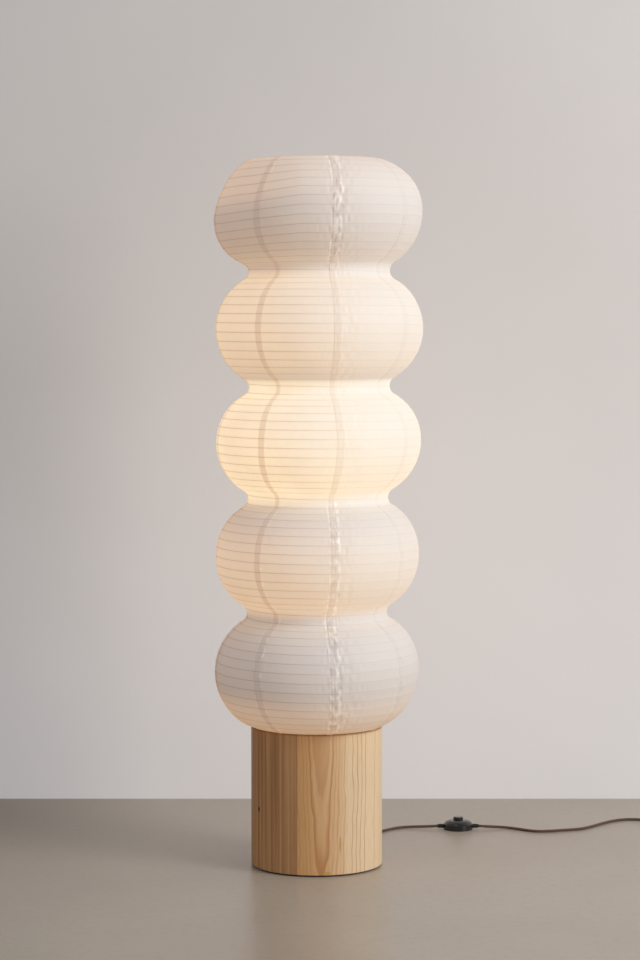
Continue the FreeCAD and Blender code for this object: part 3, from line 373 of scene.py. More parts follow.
# the room: a pale floor that meets a pale wall a little way behind the lamp
room = {
    "wallDistance": 0.689,
    "floorFront": -7.0,
    "halfWidth": 7.0,
    "wallTop": 5.0,
    "stone": (seen(0.68, 0.632, 0.575), seen(0.725, 0.685, 0.635)),
    "speck": seen(0.60, 0.545, 0.485),
    "shade": seen(0.50, 0.43, 0.35),
    "plaster": (seen(0.885, 0.87, 0.865), seen(0.905, 0.89, 0.885)),
    "paintedLight": (0.125, 0.012),     # painted light, added to the wall as a glow: at the floor and at the height on the next line
    "paintedLightTop": 1.55,
}


def flatSheet(name, corners, finish):
    mesh = bpy.data.meshes.new(name)
    mesh.from_pydata(corners, [], [(0, 1, 2, 3)])
    mesh.materials.append(finish)
    piece = bpy.data.objects.new(name, mesh)
    scene.collection.objects.link(piece)


def floorFinish():
    stone = Finish("polishedConcrete", Specular_IOR_Level=0.35)
    place = stone.place()
    cloud = stone.noise(place, 1.6, 4.0, 0.6)
    speck = stone.noise(place, 60.0, 3.0, 0.6)
    base = stone.mix(stone.ease(cloud, 0.3, 0.7), *room["stone"])
    base = stone.mix(stone.ease(speck, 0.45, 0.75, 0.0, 0.25), base, room["speck"])
    x, y, _ = stone.split(place)
    shaded = stone.ease(x, -0.85, -0.15, 1.0, 0.0) * stone.ease(y, -0.4, 0.69, 0.12, 0.85)
    base = stone.mix(shaded, base, room["shade"])
    return stone.give(Base_Color=base, Roughness=stone.ease(cloud, 0.2, 0.8, 0.26, 0.36))


def wallFinish():
    # painted light: a glow added to the wall, strongest at the floor and fading upward; only the camera, and
    # what mirrors or looks through, sees it
    plaster = Finish("palePlaster", Roughness=0.9, Specular_IOR_Level=0.2, Emission_Strength=1.0)
    camera, glossy, transmission = plaster.node("ShaderNodeLightPath", out=(0, 3, 6))
    direct = larger(larger(camera, glossy), transmission)
    place = plaster.place()
    cloud = plaster.noise(place, 1.1, 3.0, 0.55)
    base = plaster.mix(plaster.ease(cloud, 0.3, 0.7), *room["plaster"])
    height = plaster.split(place)[2]
    # painted light on the wall, fading from the floor up to its top height
    paintedWallLight = plaster.ease(height, 0.0, room["paintedLightTop"], *room["paintedLight"]) * direct
    return plaster.give(Base_Color=base, Emission_Color=plaster.colour(paintedWallLight, paintedWallLight * 1.03, paintedWallLight * 1.10))


def makeRoom():
    far = room["wallDistance"]
    wide = room["halfWidth"]
    front = room["floorFront"]
    top = room["wallTop"]
    flatSheet("floor", [(-wide, front, 0), (wide, front, 0), (wide, far, 0), (-wide, far, 0)], floorFinish())
    flatSheet("wall", [(-wide, far, 0), (wide, far, 0), (wide, far, top), (-wide, far, top)], wallFinish())


lights = {
    "world": (0.93, 0.96, 1.0),
    "worldStrength": 0.40,
    "key": {"place": (3.0, -1.95, 2.1), "aim": (0.0, 0.0, 0.75), "size": (1.6, 2.2), "watts": 82.0,
            "colour": (1.0, 0.97, 0.94)},
    "fill": {"place": (-2.8, -2.6, 1.2), "aim": (0.0, 0.0, 0.7), "size": (1.8, 1.8), "watts": 9.0,
             "colour": (1.0, 0.96, 0.93)},
}


def makeLamp(name, facts):
    lamp = bpy.data.lights.new(name, "AREA")
    lamp.shape = "RECTANGLE"
    lamp.size, lamp.size_y = facts["size"]
    lamp.energy = facts["watts"]
    lamp.color = facts["colour"]
    holder = bpy.data.objects.new(name, lamp)
    holder.location = facts["place"]
    way = Vector(facts["aim"]) - Vector(facts["place"])
    holder.rotation_euler = way.to_track_quat("-Z", "Y").to_euler()
    scene.collection.objects.link(holder)


def makeWorld():
    world = bpy.data.worlds.new("room")
    world.use_nodes = True
    sky = world.node_tree.nodes["Background"]
    sky.inputs["Color"].default_value = (*lights["world"], 1.0)
    sky.inputs["Strength"].default_value = lights["worldStrength"]
    scene.world = world


makeRoom()
makeWorld()
makeLamp("key", lights["key"])
makeLamp("fill", lights["fill"])
print("room and lamps ready")

# the lantern: its outline is an arc for each bubble and an arc for each neck between them
lantern = {
    "bubbles": 5,
    "bubbleRadius": 200 * mm,
    "neckRadius": 135 * mm,
    "neckRound": 18.5 * mm,
    "pitch": 219.6 * mm,
    "topMouth": 126 * mm,
    "bottomMouth": 124 * mm,
    "strips": 8,
    "firstSeam": -79.5,     # degrees round from +X
    "paper": 0.45 * mm,
    "lapGap": 0.4 * mm,     # between the lap and the strip under it
    "lapStart": 44.5,       # degrees from the seam where the strip steps up
    "lapStep": 0.35,
    "lapEnd": 48.57,
    "ribTurns": 75,
    "ribEnd": 7 * mm,
    "ribRadius": 0.6 * mm,
    "ribGap": 0.55 * mm,
    "ribPoints": 60,        # a turn
    "ribSides": 5,
    "rowsPerRib": 5,
    "fineColumns": (8.8, 35.6),     # the strip's columns stand closer before and after these degrees
    "columnSteps": (0.55, 1.1),
    "lapColumns": 8,
    "lean": 5.6 * mm,       # to the right, most at about two thirds of the height
    "lift": 8.0 * mm,       # most, at about a third of the height
    "liftEnd": 0.62,        # share of the height above which nothing is lifted
    "tilt": 0.010,          # of the rings of paper, right side up
    "droop": 15 * mm,       # of the top bubble's left side
    "shoulder": 7 * mm,     # more of that, above the bubble's middle
    "hitch": 5 * mm,        # of the top bubble's right side, upward
    "lowHitch": 6 * mm,     # of the bottom bubble's right side, upward
    "sideStart": 30 * mm,   # from the middle to where these begin
    "sideRun": 150 * mm,    # and from there to where they are full
    "shoulderRun": 90 * mm,
    "twist": 2.2,           # degrees that all but the middle bubble are turned clockwise, seen from above
    "slim": (4.5, 5.2, 3.8, 1.6, 1.0),      # millimetres off the radius of each bubble, upward
    "bulbHeight": 833 * mm,
    "bulbRadius": 30 * mm,
}


def outlineFacts():
    sag = lantern["bubbleRadius"] - lantern["neckRadius"]
    half = lantern["pitch"] / 2
    arcSum = (sag ** 2 + half ** 2) / (2 * sag)
    bubbleRound = arcSum - lantern["neckRound"]
    centre = lantern["bubbleRadius"] - bubbleRound
    tangent = math.asin(half / arcSum)
    top = math.acos((lantern["topMouth"] - centre) / bubbleRound)
    bottom = math.acos((lantern["bottomMouth"] - centre) / bubbleRound)
    outside = lantern["lapGap"] + lantern["paper"]
    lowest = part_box("paper_gore_1")[0].z
    return {
        "bubbleRound": bubbleRound,
        "centre": centre,
        "swell": bubbleRound * tangent,
        "hollow": lantern["neckRound"] * tangent,
        "wave": 2 * arcSum * tangent,
        "equator": lowest + (bubbleRound + outside) * math.sin(bottom),
        "bottom": bubbleRound * bottom,
        "length": bubbleRound * (bottom + top) + (lantern["bubbles"] - 1) * 2 * arcSum * tangent,
    }


outline = outlineFacts()


def lanternPoint(length):
    # radius, height and the outward way (out, up) of the paper's face at a length up from its lower edge
    past = np.asarray(length, float) - outline["bottom"]
    wave = np.clip(np.floor(past / outline["wave"]), 0, lantern["bubbles"] - 1)
    past = past - wave * outline["wave"]
    last = wave == lantern["bubbles"] - 1
    neck = ~last & (past > outline["swell"]) & (past <= outline["swell"] + 2 * outline["hollow"])
    after = ~last & (past > outline["swell"] + 2 * outline["hollow"])
    equator = outline["equator"] + wave * lantern["pitch"]
    turn = np.where(after, past - outline["wave"], past) / outline["bubbleRound"]
    middle = equator + np.where(after, lantern["pitch"], 0.0)
    radius = outline["centre"] + outline["bubbleRound"] * np.cos(turn)
    height = middle + outline["bubbleRound"] * np.sin(turn)
    out, up = np.cos(turn), np.sin(turn)
    bend = (past - outline["swell"] - outline["hollow"]) / lantern["neckRound"]
    radius = np.where(neck, lantern["neckRadius"] + lantern["neckRound"] * (1 - np.cos(bend)), radius)
    height = np.where(neck, equator + lantern["pitch"] / 2 + lantern["neckRound"] * np.sin(bend), height)
    out = np.where(neck, np.cos(bend), out)
    up = np.where(neck, -np.sin(bend), up)
    return radius, height, out, up


def hump(value, low, high):
    return np.sin(math.pi * np.clip((value - low) / (high - low), 0.0, 1.0))


def risen(value, start, run):
    return np.clip((value - start) / run, 0.0, 1.0)


def settled(radius, height, angle):
    # how the lantern stands: it leans and twists, its bands tilt, its lower bubbles are slimmer and
    # lifted, its top bubble droops on the left, and its end bubbles are hitched up on the right
    bottom = lanternPoint(0.0)[1]
    highest = lanternPoint(outline["length"])[1]
    share = np.clip((height - bottom) / (highest - bottom), 0.0, 1.0)
    ends = np.sin(math.pi * share)
    swelling = risen(radius, lantern["topMouth"], lantern["bubbleRadius"] - lantern["topMouth"])
    middles = [outline["equator"] + k * lantern["pitch"] for k in range(lantern["bubbles"])]
    radius = radius - np.interp(height, middles, lantern["slim"]) * mm * swelling
    middle = np.exp(-((height - middles[2]) / (0.45 * lantern["pitch"])) ** 2)
    angle = angle - math.radians(lantern["twist"]) * (1 - middle) * np.clip(ends * 3, 0, 1)
    x = radius * np.cos(angle)
    y = radius * np.sin(angle)
    raised = np.sin(math.pi * np.minimum(share / lantern["liftEnd"], 1.0))
    z = height + lantern["lift"] * raised + lantern["tilt"] * x * ends
    inTop = hump(height, middles[-1] - lantern["pitch"] / 2, highest)
    onShoulder = hump(height, middles[-1], highest)
    inBottom = hump(height, bottom, bottom + lantern["pitch"])
    z = z - lantern["droop"] * inTop * risen(-x, lantern["sideStart"], lantern["sideRun"])
    z = z - lantern["shoulder"] * onShoulder * risen(-x, lantern["sideStart"], lantern["shoulderRun"])
    right = risen(x, lantern["sideStart"], lantern["sideRun"])
    z = z + right * (lantern["hitch"] * inTop + lantern["lowHitch"] * inBottom)
    return x + lantern["lean"] * np.sin(math.pi * share ** 2), y, z


def ripple(seed, along, count):
    # smooth random waves on a line, one random number a cell
    table = np.random.default_rng(seed).uniform(-1.0, 1.0, count)
    cell = np.floor(along).astype(int)
    share = along - cell
    share = share * share * (3 - 2 * share)
    return table[cell % count] * (1 - share) + table[(cell + 1) % count] * share


def dapple(seed, across, along, count):
    # smooth random patches, which close up after count cells across
    rows = 1024
    table = np.random.default_rng(seed).uniform(-1.0, 1.0, (rows, count))
    column = np.floor(across).astype(int)
    row = np.floor(along).astype(int)
    u = across - column
    v = along - row
    u = u * u * (3 - 2 * u)
    v = v * v * (3 - 2 * v)
    here = column % count
    beside = (column + 1) % count
    above = (row + 1) % rows
    low = table[row % rows, here] * (1 - u) + table[row % rows, beside] * u
    high = table[above, here] * (1 - u) + table[above, beside] * u
    return low * (1 - v) + high * v


creases = {
    "facet": 0.35 * mm,     # how far the paper falls short of a round bubble between two ribs
    "pucker": 0.12 * mm,    # ripples between two ribs, all over
    "seamPucker": 0.75 * mm,
    "seamReach": 17 * mm,
    "sidePucker": 1.1 * mm,     # to the right of the front seam
    "sideMiddle": 36 * mm,
    "sideReach": 24 * mm,
    "ripplesRound": 210,
    "lapMiddle": 5 * mm,    # the lap lies to the right of its seam
    "crumple": 4.2 * mm,
    "crumpleReach": 12 * mm,
    "glossReach": 15 * mm,
    "glints": ((-3 * mm, 1.7 * mm), (13.5 * mm, 2.1 * mm)),     # painted highlights along both edges of the lap: place and width
    "fold": 13.0,           # millimetres from one large fold to the next
    "smallFold": 6.0,
    "foldRadius": 180.0,    # where the folds have that size
    "frontSeam": (1.0, 0.75, 0.18, 0.30, 1.0),      # how crumpled the front seam is, bubble by bubble upward
    "otherSeams": (0.34, 0.30, 0.08, 0.08, 0.26),
    "drift": 0.9 * mm,      # slow unevenness
    "driftReach": 70 * mm,
    "driftRound": 11,
    "edgeFade": 16 * mm,    # nothing is creased where the strip is glued to a ring
}


def ribPhase(length, angle):
    # whole numbers lie on the rib
    step = (outline["length"] - 2 * lantern["ribEnd"]) / lantern["ribTurns"]
    return (length - lantern["ribEnd"]) / step + angle / (2 * math.pi)


def seamDistance(angle, radius):
    # signed distance to the nearest seam, and that seam's number
    share = 2 * math.pi / lantern["strips"]
    past = (angle - math.radians(lantern["firstSeam"])) / share
    number = np.round(past)
    return (past - number) * share * radius, number.astype(int) % lantern["strips"]


def folding(length, angle):
    # the crumpled seam's folds, sharp along their tops
    count = round(2 * math.pi * creases["foldRadius"] / creases["fold"])
    smallCount = round(2 * math.pi * creases["foldRadius"] / creases["smallFold"])
    turn = angle / (2 * math.pi)
    folds = dapple(11, turn * count, length / (creases["fold"] * mm), count)
    small = dapple(12, turn * smallCount, length / (creases["smallFold"] * mm), smallCount)
    return (0.5 - 1.4 * np.abs(folds)) * 0.7 + (0.4 - np.abs(small)) * 0.5


def crumpling(length, angle, radius):
    # distance to the nearest seam, whether that is the front one, where among the bubbles, how crumpled
    distance, number = seamDistance(angle, radius)
    front = number == 0
    bubble = np.clip((length - outline["bottom"]) / outline["wave"] + 0.5, 0, lantern["bubbles"] - 1e-6)
    level = bubble.astype(int)
    strength = np.where(front, np.array(creases["frontSeam"])[level], np.array(creases["otherSeams"])[level])
    return distance, front, bubble, strength


def creasing(length, angle, radius):
    # how far the paper stands out of the lantern's even outline
    phase = ribPhase(length, angle)
    turn = np.floor(phase)
    between = np.sin(math.pi * (phase - turn)) ** 2
    cells = (angle - 2 * math.pi * turn) * (creases["ripplesRound"] / (2 * math.pi))
    waves = ripple(7, cells, 20011)
    waves = waves + 0.5 * ripple(8, cells * 2.1, 40009)
    distance, front, bubble, strength = crumpling(length, angle, radius)
    lap = distance - creases["lapMiddle"]
    near = np.exp(-np.abs(lap) / creases["seamReach"])
    beside = (distance - creases["sideMiddle"]) / creases["sideReach"]
    side = np.where(front, np.exp(-beside ** 2), 0.0)
    calm = np.abs(np.sin(math.pi * bubble)) ** 0.7      # flat where a neck pulls the paper tight
    size = creases["pucker"] + creases["seamPucker"] * near * (0.35 + strength) + creases["sidePucker"] * side
    push = size * waves * between * (0.35 + 0.65 * calm)
    strip = np.exp(-(lap / creases["crumpleReach"]) ** 4)
    folds = folding(length, angle) * calm * (0.5 + 0.5 * between)
    push = push + creases["crumple"] * strength * strip * folds
    patches = creases["driftRound"]
    drift = dapple(13, angle * patches / (2 * math.pi), length / creases["driftReach"], patches)
    push = push + creases["drift"] * drift * calm
    convex = np.where(np.abs(np.sin(math.pi * bubble)) > 0.35, 1.0, 0.0)
    push = push - creases["facet"] * between * convex
    edge = np.minimum(length, outline["length"] - length)
    return push * risen(edge, 0.0, creases["edgeFade"])


glowFacts = {
    "strength": 0.106,      # of the light that reaches the paper straight from the bulb
    "spread": 5.2,          # light that comes by way of the other paper
    "spreadHeight": 950 * mm,
    "spreadReach": 520 * mm,
    "inBulb": 0.7,          # of the bulb's radius, out to the points that shine
    "neckBlur": 6 * mm,
}


def glowAt(length):
    # how much of the bulb's light falls on the paper, past the necks that stand in the way
    radius, height, out, up = lanternPoint(length)
    necks = [outline["equator"] + lantern["pitch"] * (k + 0.5) for k in range(lantern["bubbles"] - 1)]
    straight = np.zeros_like(radius)
    points = (-glowFacts["inBulb"], 0.0, glowFacts["inBulb"])
    samples = [(sideways, upward) for sideways in points for upward in points]
    for sideways, upward in samples:
        fromRadius = sideways * lantern["bulbRadius"]
        fromHeight = lantern["bulbHeight"] + upward * lantern["bulbRadius"]
        run = radius - fromRadius
        climb = height - fromHeight
        reach = np.hypot(run, climb)
        facing = np.clip((run * out + climb * up) / reach, 0.0, 1.0)
        clear = np.ones_like(radius)
        for neck in necks:
            share = (neck - fromHeight) / np.where(np.abs(climb) < 1e-6, 1e-6, climb)
            crossing = fromRadius + run * share
            past = (lantern["neckRadius"] - crossing) / glowFacts["neckBlur"]
            crossed = (share > 0.0) & (share < 1.0)
            clear = clear * np.where(crossed, np.clip(past + 0.5, 0.0, 1.0), 1.0)
        straight += clear * facing / reach ** 2 / len(samples)
    far = np.abs(height - glowFacts["spreadHeight"]) / glowFacts["spreadReach"]
    spread = glowFacts["spread"] * np.exp(-far)
    return 1 - np.exp(-glowFacts["strength"] * (straight + spread))


paperFacts = {
    "white": (0.785, 0.765, 0.755),
    "green": (0.40, 0.30),      # of the glow's red, and more of it where it is brighter
    "blue": (0.10, 0.27),
    "rib": (0.30, 1.15),        # millimetres from the rib's middle to where its line fades and ends
    "halo": (0.5, 4.5),
    "ribShade": 0.36,
    "ribTint": (0.18, 0.25, 0.31),
    "haloShade": 0.04,
    "lapShade": 0.20,
    "valleyShade": 0.14,
    "ridgeLight": 0.18,
    "leftToRight": (-0.06, 0.10, 1.0, 0.30),    # painted shade: the rib lines and the laps show most on the left, as the key light washes them out on the right
}


def paperFinish():
    paper = Finish("lanternPaper", Emission_Strength=1.0, Specular_IOR_Level=0.35)
    phase = paper.attribute("ribPhase")
    seam = paper.attribute("seamAngle")
    light = paper.attribute("glow")
    rough = paper.attribute("crumpled")
    fold = paper.attribute("fold")
    place = paper.place()
    ribStep = (outline["length"] - 2 * lantern["ribEnd"]) / lantern["ribTurns"]
    fromRib = away(fract(phase + 0.5) - 0.5) * (ribStep / mm)     # millimetres
    # painted shade: the rib lines and the lap's shade fade towards the right, where the key light washes them
    # out
    paintedShadeLeft = paper.ease(paper.split(place)[0], *paperFacts["leftToRight"])
    rib = (1 - paper.ease(fromRib, *paperFacts["rib"])) * paintedShadeLeft
    halo = (1 - paper.ease(fromRib, *paperFacts["halo"])) * paintedShadeLeft
    lapEdge = lantern["lapEnd"] - lantern["lapStart"]
    lapped = paper.ease(seam, lantern["lapStart"] - 0.1, lantern["lapStart"] + 0.1)
    covered = 1 - paper.ease(seam, lapEdge - 0.6, lapEdge - 0.4)
    doubled = larger(lapped, covered) * paintedShadeLeft
    cloud = paper.noise(place, 9.0, 4.0, 0.6)
    fibres = paper.noise(place, 140.0, 4.0, 0.65)
    uneven = paper.ease(cloud, 0.25, 0.75, 0.94, 1.04) * paper.ease(fibres, 0.25, 0.75, 0.965, 1.03)
    # painted shade in the valleys of the folds, and painted highlight on their ridges and on the lap's
    # glinting edges
    ridge = paper.ease(fold, 0.10, 0.42)
    valley = 1 - paper.ease(fold, -0.55, -0.10)
    level = light * uneven * (1 - doubled * paperFacts["lapShade"])
    level = level * (1 - rib * paperFacts["ribShade"]) * (1 - halo * paperFacts["haloShade"])
    level = level * (1 - valley * paperFacts["valleyShade"]) * (1 + ridge * paperFacts["ridgeLight"])
    green = level * (paperFacts["green"][0] + level * paperFacts["green"][1]) * (1 - doubled * 0.05)
    blue = level * (paperFacts["blue"][0] + level * paperFacts["blue"][1]) * (1 - doubled * 0.14)
    # painted shade in the fold valleys and painted highlight on the ridges, on a colour a little darker where
    # the paper is doubled
    mask = (1 - doubled * 0.07) * (1 - valley * 0.10) * (1 + ridge * 0.20)
    white = paperFacts["white"]
    tint = paperFacts["ribTint"]
    lit = paper.colour(level, green, blue)
    # what glows no longer scatters, so the two together never pass white
    base = paper.colour((1 - level) * mask * white[0] * (1 - rib * tint[0]),
                        (1 - green) * mask * white[1] * (1 - rib * tint[1]),
                        (1 - blue) * mask * white[2] * (1 - rib * tint[2]))
    gloss = paper.ease(rough, 0.0, 0.7, 0.60, 0.26)
    relief = paper.bump(fibres + paper.noise(place, 420.0, 2.0) * 0.5, 0.12 * mm, 0.6)
    return paper.give(Base_Color=base, Emission_Color=lit, Roughness=gloss, Normal=relief)


def stripColumns():
    # degrees from the strip's seam
    before, after = lantern["fineColumns"]
    fine, coarse = lantern["columnSteps"]
    edge = np.arange(0.0, before, fine)
    middle = np.arange(before, after, coarse)
    far = np.arange(after, lantern["lapStart"] - 0.3, fine)
    step = [lantern["lapStart"], lantern["lapStart"] + lantern["lapStep"]]
    lapFrom = lantern["lapStart"] + 2 * lantern["lapStep"]
    lap = np.linspace(lapFrom, lantern["lapEnd"], lantern["lapColumns"])
    return np.concatenate([edge, middle, far, step, lap])


def makeStrip(number, finish):
    start = lantern["firstSeam"] + number * 360.0 / lantern["strips"]
    columns = stripColumns()
    rows = np.linspace(0.0, outline["length"], lantern["rowsPerRib"] * (lantern["ribTurns"] + 1) + 1)
    length, across = np.meshgrid(rows, columns, indexing="ij")
    angle = np.radians(start + across)
    radius, height, out, up = lanternPoint(length)
    lift = np.where(across > lantern["lapStart"] + 0.1, lantern["lapGap"] + lantern["paper"] / 2,
                    -lantern["paper"] / 2)
    push = creasing(length, angle, radius) + lift
    x, y, z = settled(radius + push * out, height + push * up, angle)
    points = np.stack([x, y, z], axis=-1).reshape(-1, 3)
    wide = len(columns)
    faces = [(r * wide + c, r * wide + c + 1, (r + 1) * wide + c + 1, (r + 1) * wide + c)
             for r in range(len(rows) - 1) for c in range(wide - 1)]
    piece = newPiece("paper_strip_%d" % (number + 1), points.tolist(), faces, "lantern", finish)
    addAttribute(piece, "ribPhase", ribPhase(length, angle))
    addAttribute(piece, "seamAngle", across)
    addAttribute(piece, "glow", glowAt(length))
    distance, _, _, strength = crumpling(length, angle, radius)
    strip = np.exp(-((distance - creases["lapMiddle"]) / creases["glossReach"]) ** 4)
    addAttribute(piece, "crumpled", strength * strip)
    # painted highlights: glinting lines along both edges of the lap, put into the fold attribute with the
    # folds
    edges = sum(np.exp(-((distance - place) / width) ** 2) for place, width in creases["glints"])
    glint = edges * np.clip(0.55 + ripple(21, length / (6 * mm) + distance / (9 * mm), 997), 0, 1)
    addAttribute(piece, "fold", strength * (strip * folding(length, angle) + 0.8 * glint))
    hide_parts("paper_gore_%d" % (number + 1))
    sweep = math.radians(lantern["lapEnd"])
    flatArea = float(np.trapz(lanternPoint(rows)[0], rows)) * sweep


def ribFinish():
    wire = Finish("ribWire", Metallic=0.0)
    grain = wire.noise(wire.place(), 900.0, 3.0)
    tone = wire.mix(grain, seen(0.55, 0.45, 0.36), seen(0.66, 0.56, 0.46))
    return wire.give(Base_Color=tone, Roughness=wire.ease(grain, 0.3, 0.7, 0.45, 0.6))


ribLook = ribFinish()


def makeRibs():
    turns = np.linspace(0.0, lantern["ribTurns"], lantern["ribTurns"] * lantern["ribPoints"] + 1)
    length = lantern["ribEnd"] + (outline["length"] - 2 * lantern["ribEnd"]) * turns / lantern["ribTurns"]
    radius, height, out, up = lanternPoint(length)
    depth = lantern["paper"] + lantern["ribGap"] + lantern["ribRadius"]
    x, y, z = settled(radius - depth * out, height - depth * up, -2 * math.pi * turns)
    path = [Vector(p) for p in zip(x, y, z)]
    shape, faces = tubeAlong(path, lantern["ribRadius"], lantern["ribSides"])
    piece = newPiece("rib_wire", shape, faces, "lantern", ribLook)
    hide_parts("rib_spiral")


paperLook = paperFinish()
for strip in range(lantern["strips"]):
    makeStrip(strip, paperLook)
makeRibs()
print("lantern dressed")

# pine: rings about a pith that lies behind the front of the drum, and straight grain on the other boards
wood = {
    "radius": 126 * mm,
    "glueLine": -37.3 * mm,     # round the drum from the middle of the front
    "flame": (9 * mm, 110 * mm),    # tip of the tongue, round the drum and up
    "pith": 30.4 * mm,
    "pithSlope": 0.036,
    "ringStep": 5.0 * mm,
    "bend": 12 * mm,        # how far the grain wanders, from the longest waves to the shortest
    "wave": 10 * mm,
    "sway": 3 * mm,         # of the pith, in and out
    "stripe": 115.0,            # broad stripes a metre on the straight-grained boards
    "knot": (-133 * mm, 118 * mm, 3.4 * mm, 6.0 * mm),
    "streak": (45.5 * mm, 62 * mm, 2.0 * mm, 18 * mm),
    "spot": (20 * mm, 7 * mm, 8 * mm, 4 * mm),
    "top": 269 * mm,
    "pale": seen(0.97, 0.87, 0.72),
    "honey": seen(0.88, 0.68, 0.46),
    "tan": seen(0.81, 0.62, 0.43),
    "line": seen(0.72, 0.48, 0.27),
    "brown": seen(0.56, 0.37, 0.20),
    "mark": seen(0.17, 0.09, 0.05),
    "resin": seen(0.74, 0.58, 0.18),
    "rim": seen(0.56, 0.33, 0.17),
}


def oval(finish, across, z, facts):
    # one inside an oval mark on the drum, fading out at its edge
    besides = (across - facts[0]) / facts[2]
    above = (z - facts[1]) / facts[3]
    return 1 - finish.ease(besides * besides + above * above, 0.3, 1.2)


def pineFinish():
    pine = Finish("pine", Coat_Roughness=0.35, Specular_IOR_Level=0.4)
    x, y, z = pine.split(pine.place())
    across = x.maths("ARCTAN2", x, -y) * wood["radius"]
    bend = pine.noise(pine.join(across * 8.0, 0.0, z * 3.0), 1.0, 2.0) - 0.5
    # the board with the long flame in its middle starts at a glue line left of the front
    front = pine.ease(across, wood["glueLine"], wood["glueLine"] + 0.4 * mm)
    sway = pine.noise(pine.join(across * 20.0, 3.0, z * 9.0), 1.0, 2.0) - 0.5
    pith = wood["pith"] + (wood["flame"][1] - z) * wood["pithSlope"] + sway * wood["sway"]
    wave = pine.noise(pine.join(across * 26.0, 6.0, z * 16.0), 1.0, 1.0) - 0.5
    side = across - wood["flame"][0] + bend * wood["bend"] + wave * wood["wave"]
    reach = (side * side + pith * pith) ** 0.5
    straight = away(across + bend * 0.006 + 0.31) * 0.55
    rings = (front * reach + (1 - front) * straight) / wood["ringStep"]
    rings = rings + (pine.noise(pine.join(across * 60.0, 1.0, z * 4.0), 1.0, 2.0) - 0.5) * 0.7
    phase = fract(rings)
    late = pine.ease(phase, 0.35, 0.92) * (1 - pine.ease(phase, 0.92, 1.0))
    ring = rings.maths("FLOOR", rings)
    vary = pine.node("ShaderNodeTexWhiteNoise", {"noise_dimensions": "1D"}, {"W": ring})
    late = late * pine.ease(vary, 0.35, 1.0, 0.06, 0.85)
    broad = pine.noise(pine.join(across * 34.0, 5.0, z * 2.2), 1.0, 3.0)
    stripes = pine.noise(pine.join((across + bend * 0.004) * wood["stripe"], 9.0, z * 1.6), 1.0, 1.5)
    fine = pine.noise(pine.join(across * 1500.0, 2.0, z * 26.0), 1.0, 4.0, 0.6)
    # darker towards the left: brown striped boards left of the glue line, and a honey tone on the front board
    # that pales towards the right
    leftBoards = pine.mix(pine.ease(stripes, 0.28, 0.72, 0.25, 1.0), wood["brown"], wood["tan"])
    frontBoard = pine.mix(pine.ease(across + (broad - 0.5) * 0.09, -0.02, 0.10), wood["honey"], wood["pale"])
    tongue = 1 - pine.ease(reach, wood["pith"] - 2.0 * mm, wood["pith"] + 0.5 * mm)
    frontBoard = pine.mix(tongue * 0.28, frontBoard, wood["line"])
    base = pine.mix(front, leftBoards, frontBoard)
    base = pine.mix(late * pine.ease(front, 0.0, 1.0, 0.25, 0.85), base, wood["line"])
    base = pine.mix(pine.ease(fine, 0.35, 0.75, 0.0, 0.28), base, wood["brown"])
    glue = 1 - pine.ease(away(across - wood["glueLine"]), 0.2 * mm, 1.1 * mm)
    base = pine.mix(glue * 0.6, base, wood["brown"])
    base = pine.mix(oval(pine, across, z, wood["streak"]) * 0.7, base, wood["resin"])
    base = pine.mix(oval(pine, across, z, wood["spot"]) * 0.55, base, wood["resin"])
    base = pine.mix(oval(pine, across, z, wood["knot"]), base, wood["mark"])
    # painted shade with a warm glow along the drum's top edge, under the lantern's lower edge
    wearAndRimShade = pine.ease(z, wood["top"] - 3.0 * mm, wood["top"] - 0.8 * mm)
    base = pine.mix(wearAndRimShade * 0.45, base, wood["rim"])
    return pine.give(Base_Color=base, Roughness=pine.ease(fine, 0.3, 0.7, 0.48, 0.62),
                     Normal=pine.bump(fine * 0.6 - late * 0.5, 0.15 * mm, 0.6))


# finishes for the turned, stamped and moulded pieces
def metalFinish(name, colour, roughness):
    metal = Finish(name, Metallic=1.0)
    place = metal.place()
    streak = metal.noise(place, 400.0, 4.0, 0.6)
    stain = metal.noise(place, 25.0, 3.0)
    tone = metal.mix(metal.ease(stain, 0.3, 0.75), colour, tuple(c * 0.82 for c in colour))
    gloss = metal.ease(streak, 0.3, 0.7, roughness - 0.06, roughness + 0.08)
    return metal.give(Base_Color=tone, Roughness=gloss, Normal=metal.bump(streak, 0.05 * mm, 0.25))


def mouldedFinish(name, colour, roughness, grain=0.2, scale=900.0, **fixed):
    plastic = Finish(name, **fixed)
    place = plastic.place()
    pores = plastic.noise(place, scale, 2.0)
    wear = plastic.noise(place, 40.0, 3.0, 0.6)
    paler = tuple(min(c * 1.25 + 0.01, 1) for c in colour)
    tone = plastic.mix(plastic.ease(wear, 0.35, 0.8, 0.0, 0.5), colour, paler)
    gloss = plastic.ease(wear, 0.3, 0.7, roughness - 0.04, roughness + 0.06)
    return plastic.give(Base_Color=tone, Roughness=gloss, Normal=plastic.bump(pores, 0.04 * mm, grain))


def paintedFinish(name, colour, roughness):
    return mouldedFinish(name, colour, roughness, 0.3, 500.0, Coat_Weight=0.3, Coat_Roughness=0.25)


def plyFinish():
    ply = Finish("birchPly", Specular_IOR_Level=0.3)
    x, y, z = ply.split(ply.place())
    layer = fract(z / (3 * mm))
    edge = ply.ease(away(layer - 0.5), 0.42, 0.5)
    grain = ply.noise(ply.join(x * 14.0, y * 300.0, z * 50.0), 1.0, 4.0)
    base = ply.mix(ply.ease(grain, 0.3, 0.75), seen(0.86, 0.74, 0.57), seen(0.73, 0.58, 0.40))
    base = ply.mix(edge * 0.35, base, seen(0.45, 0.32, 0.20))
    return ply.give(Base_Color=base, Roughness=ply.ease(grain, 0.3, 0.7, 0.6, 0.75),
                    Normal=ply.bump(grain, 0.08 * mm, 0.4))


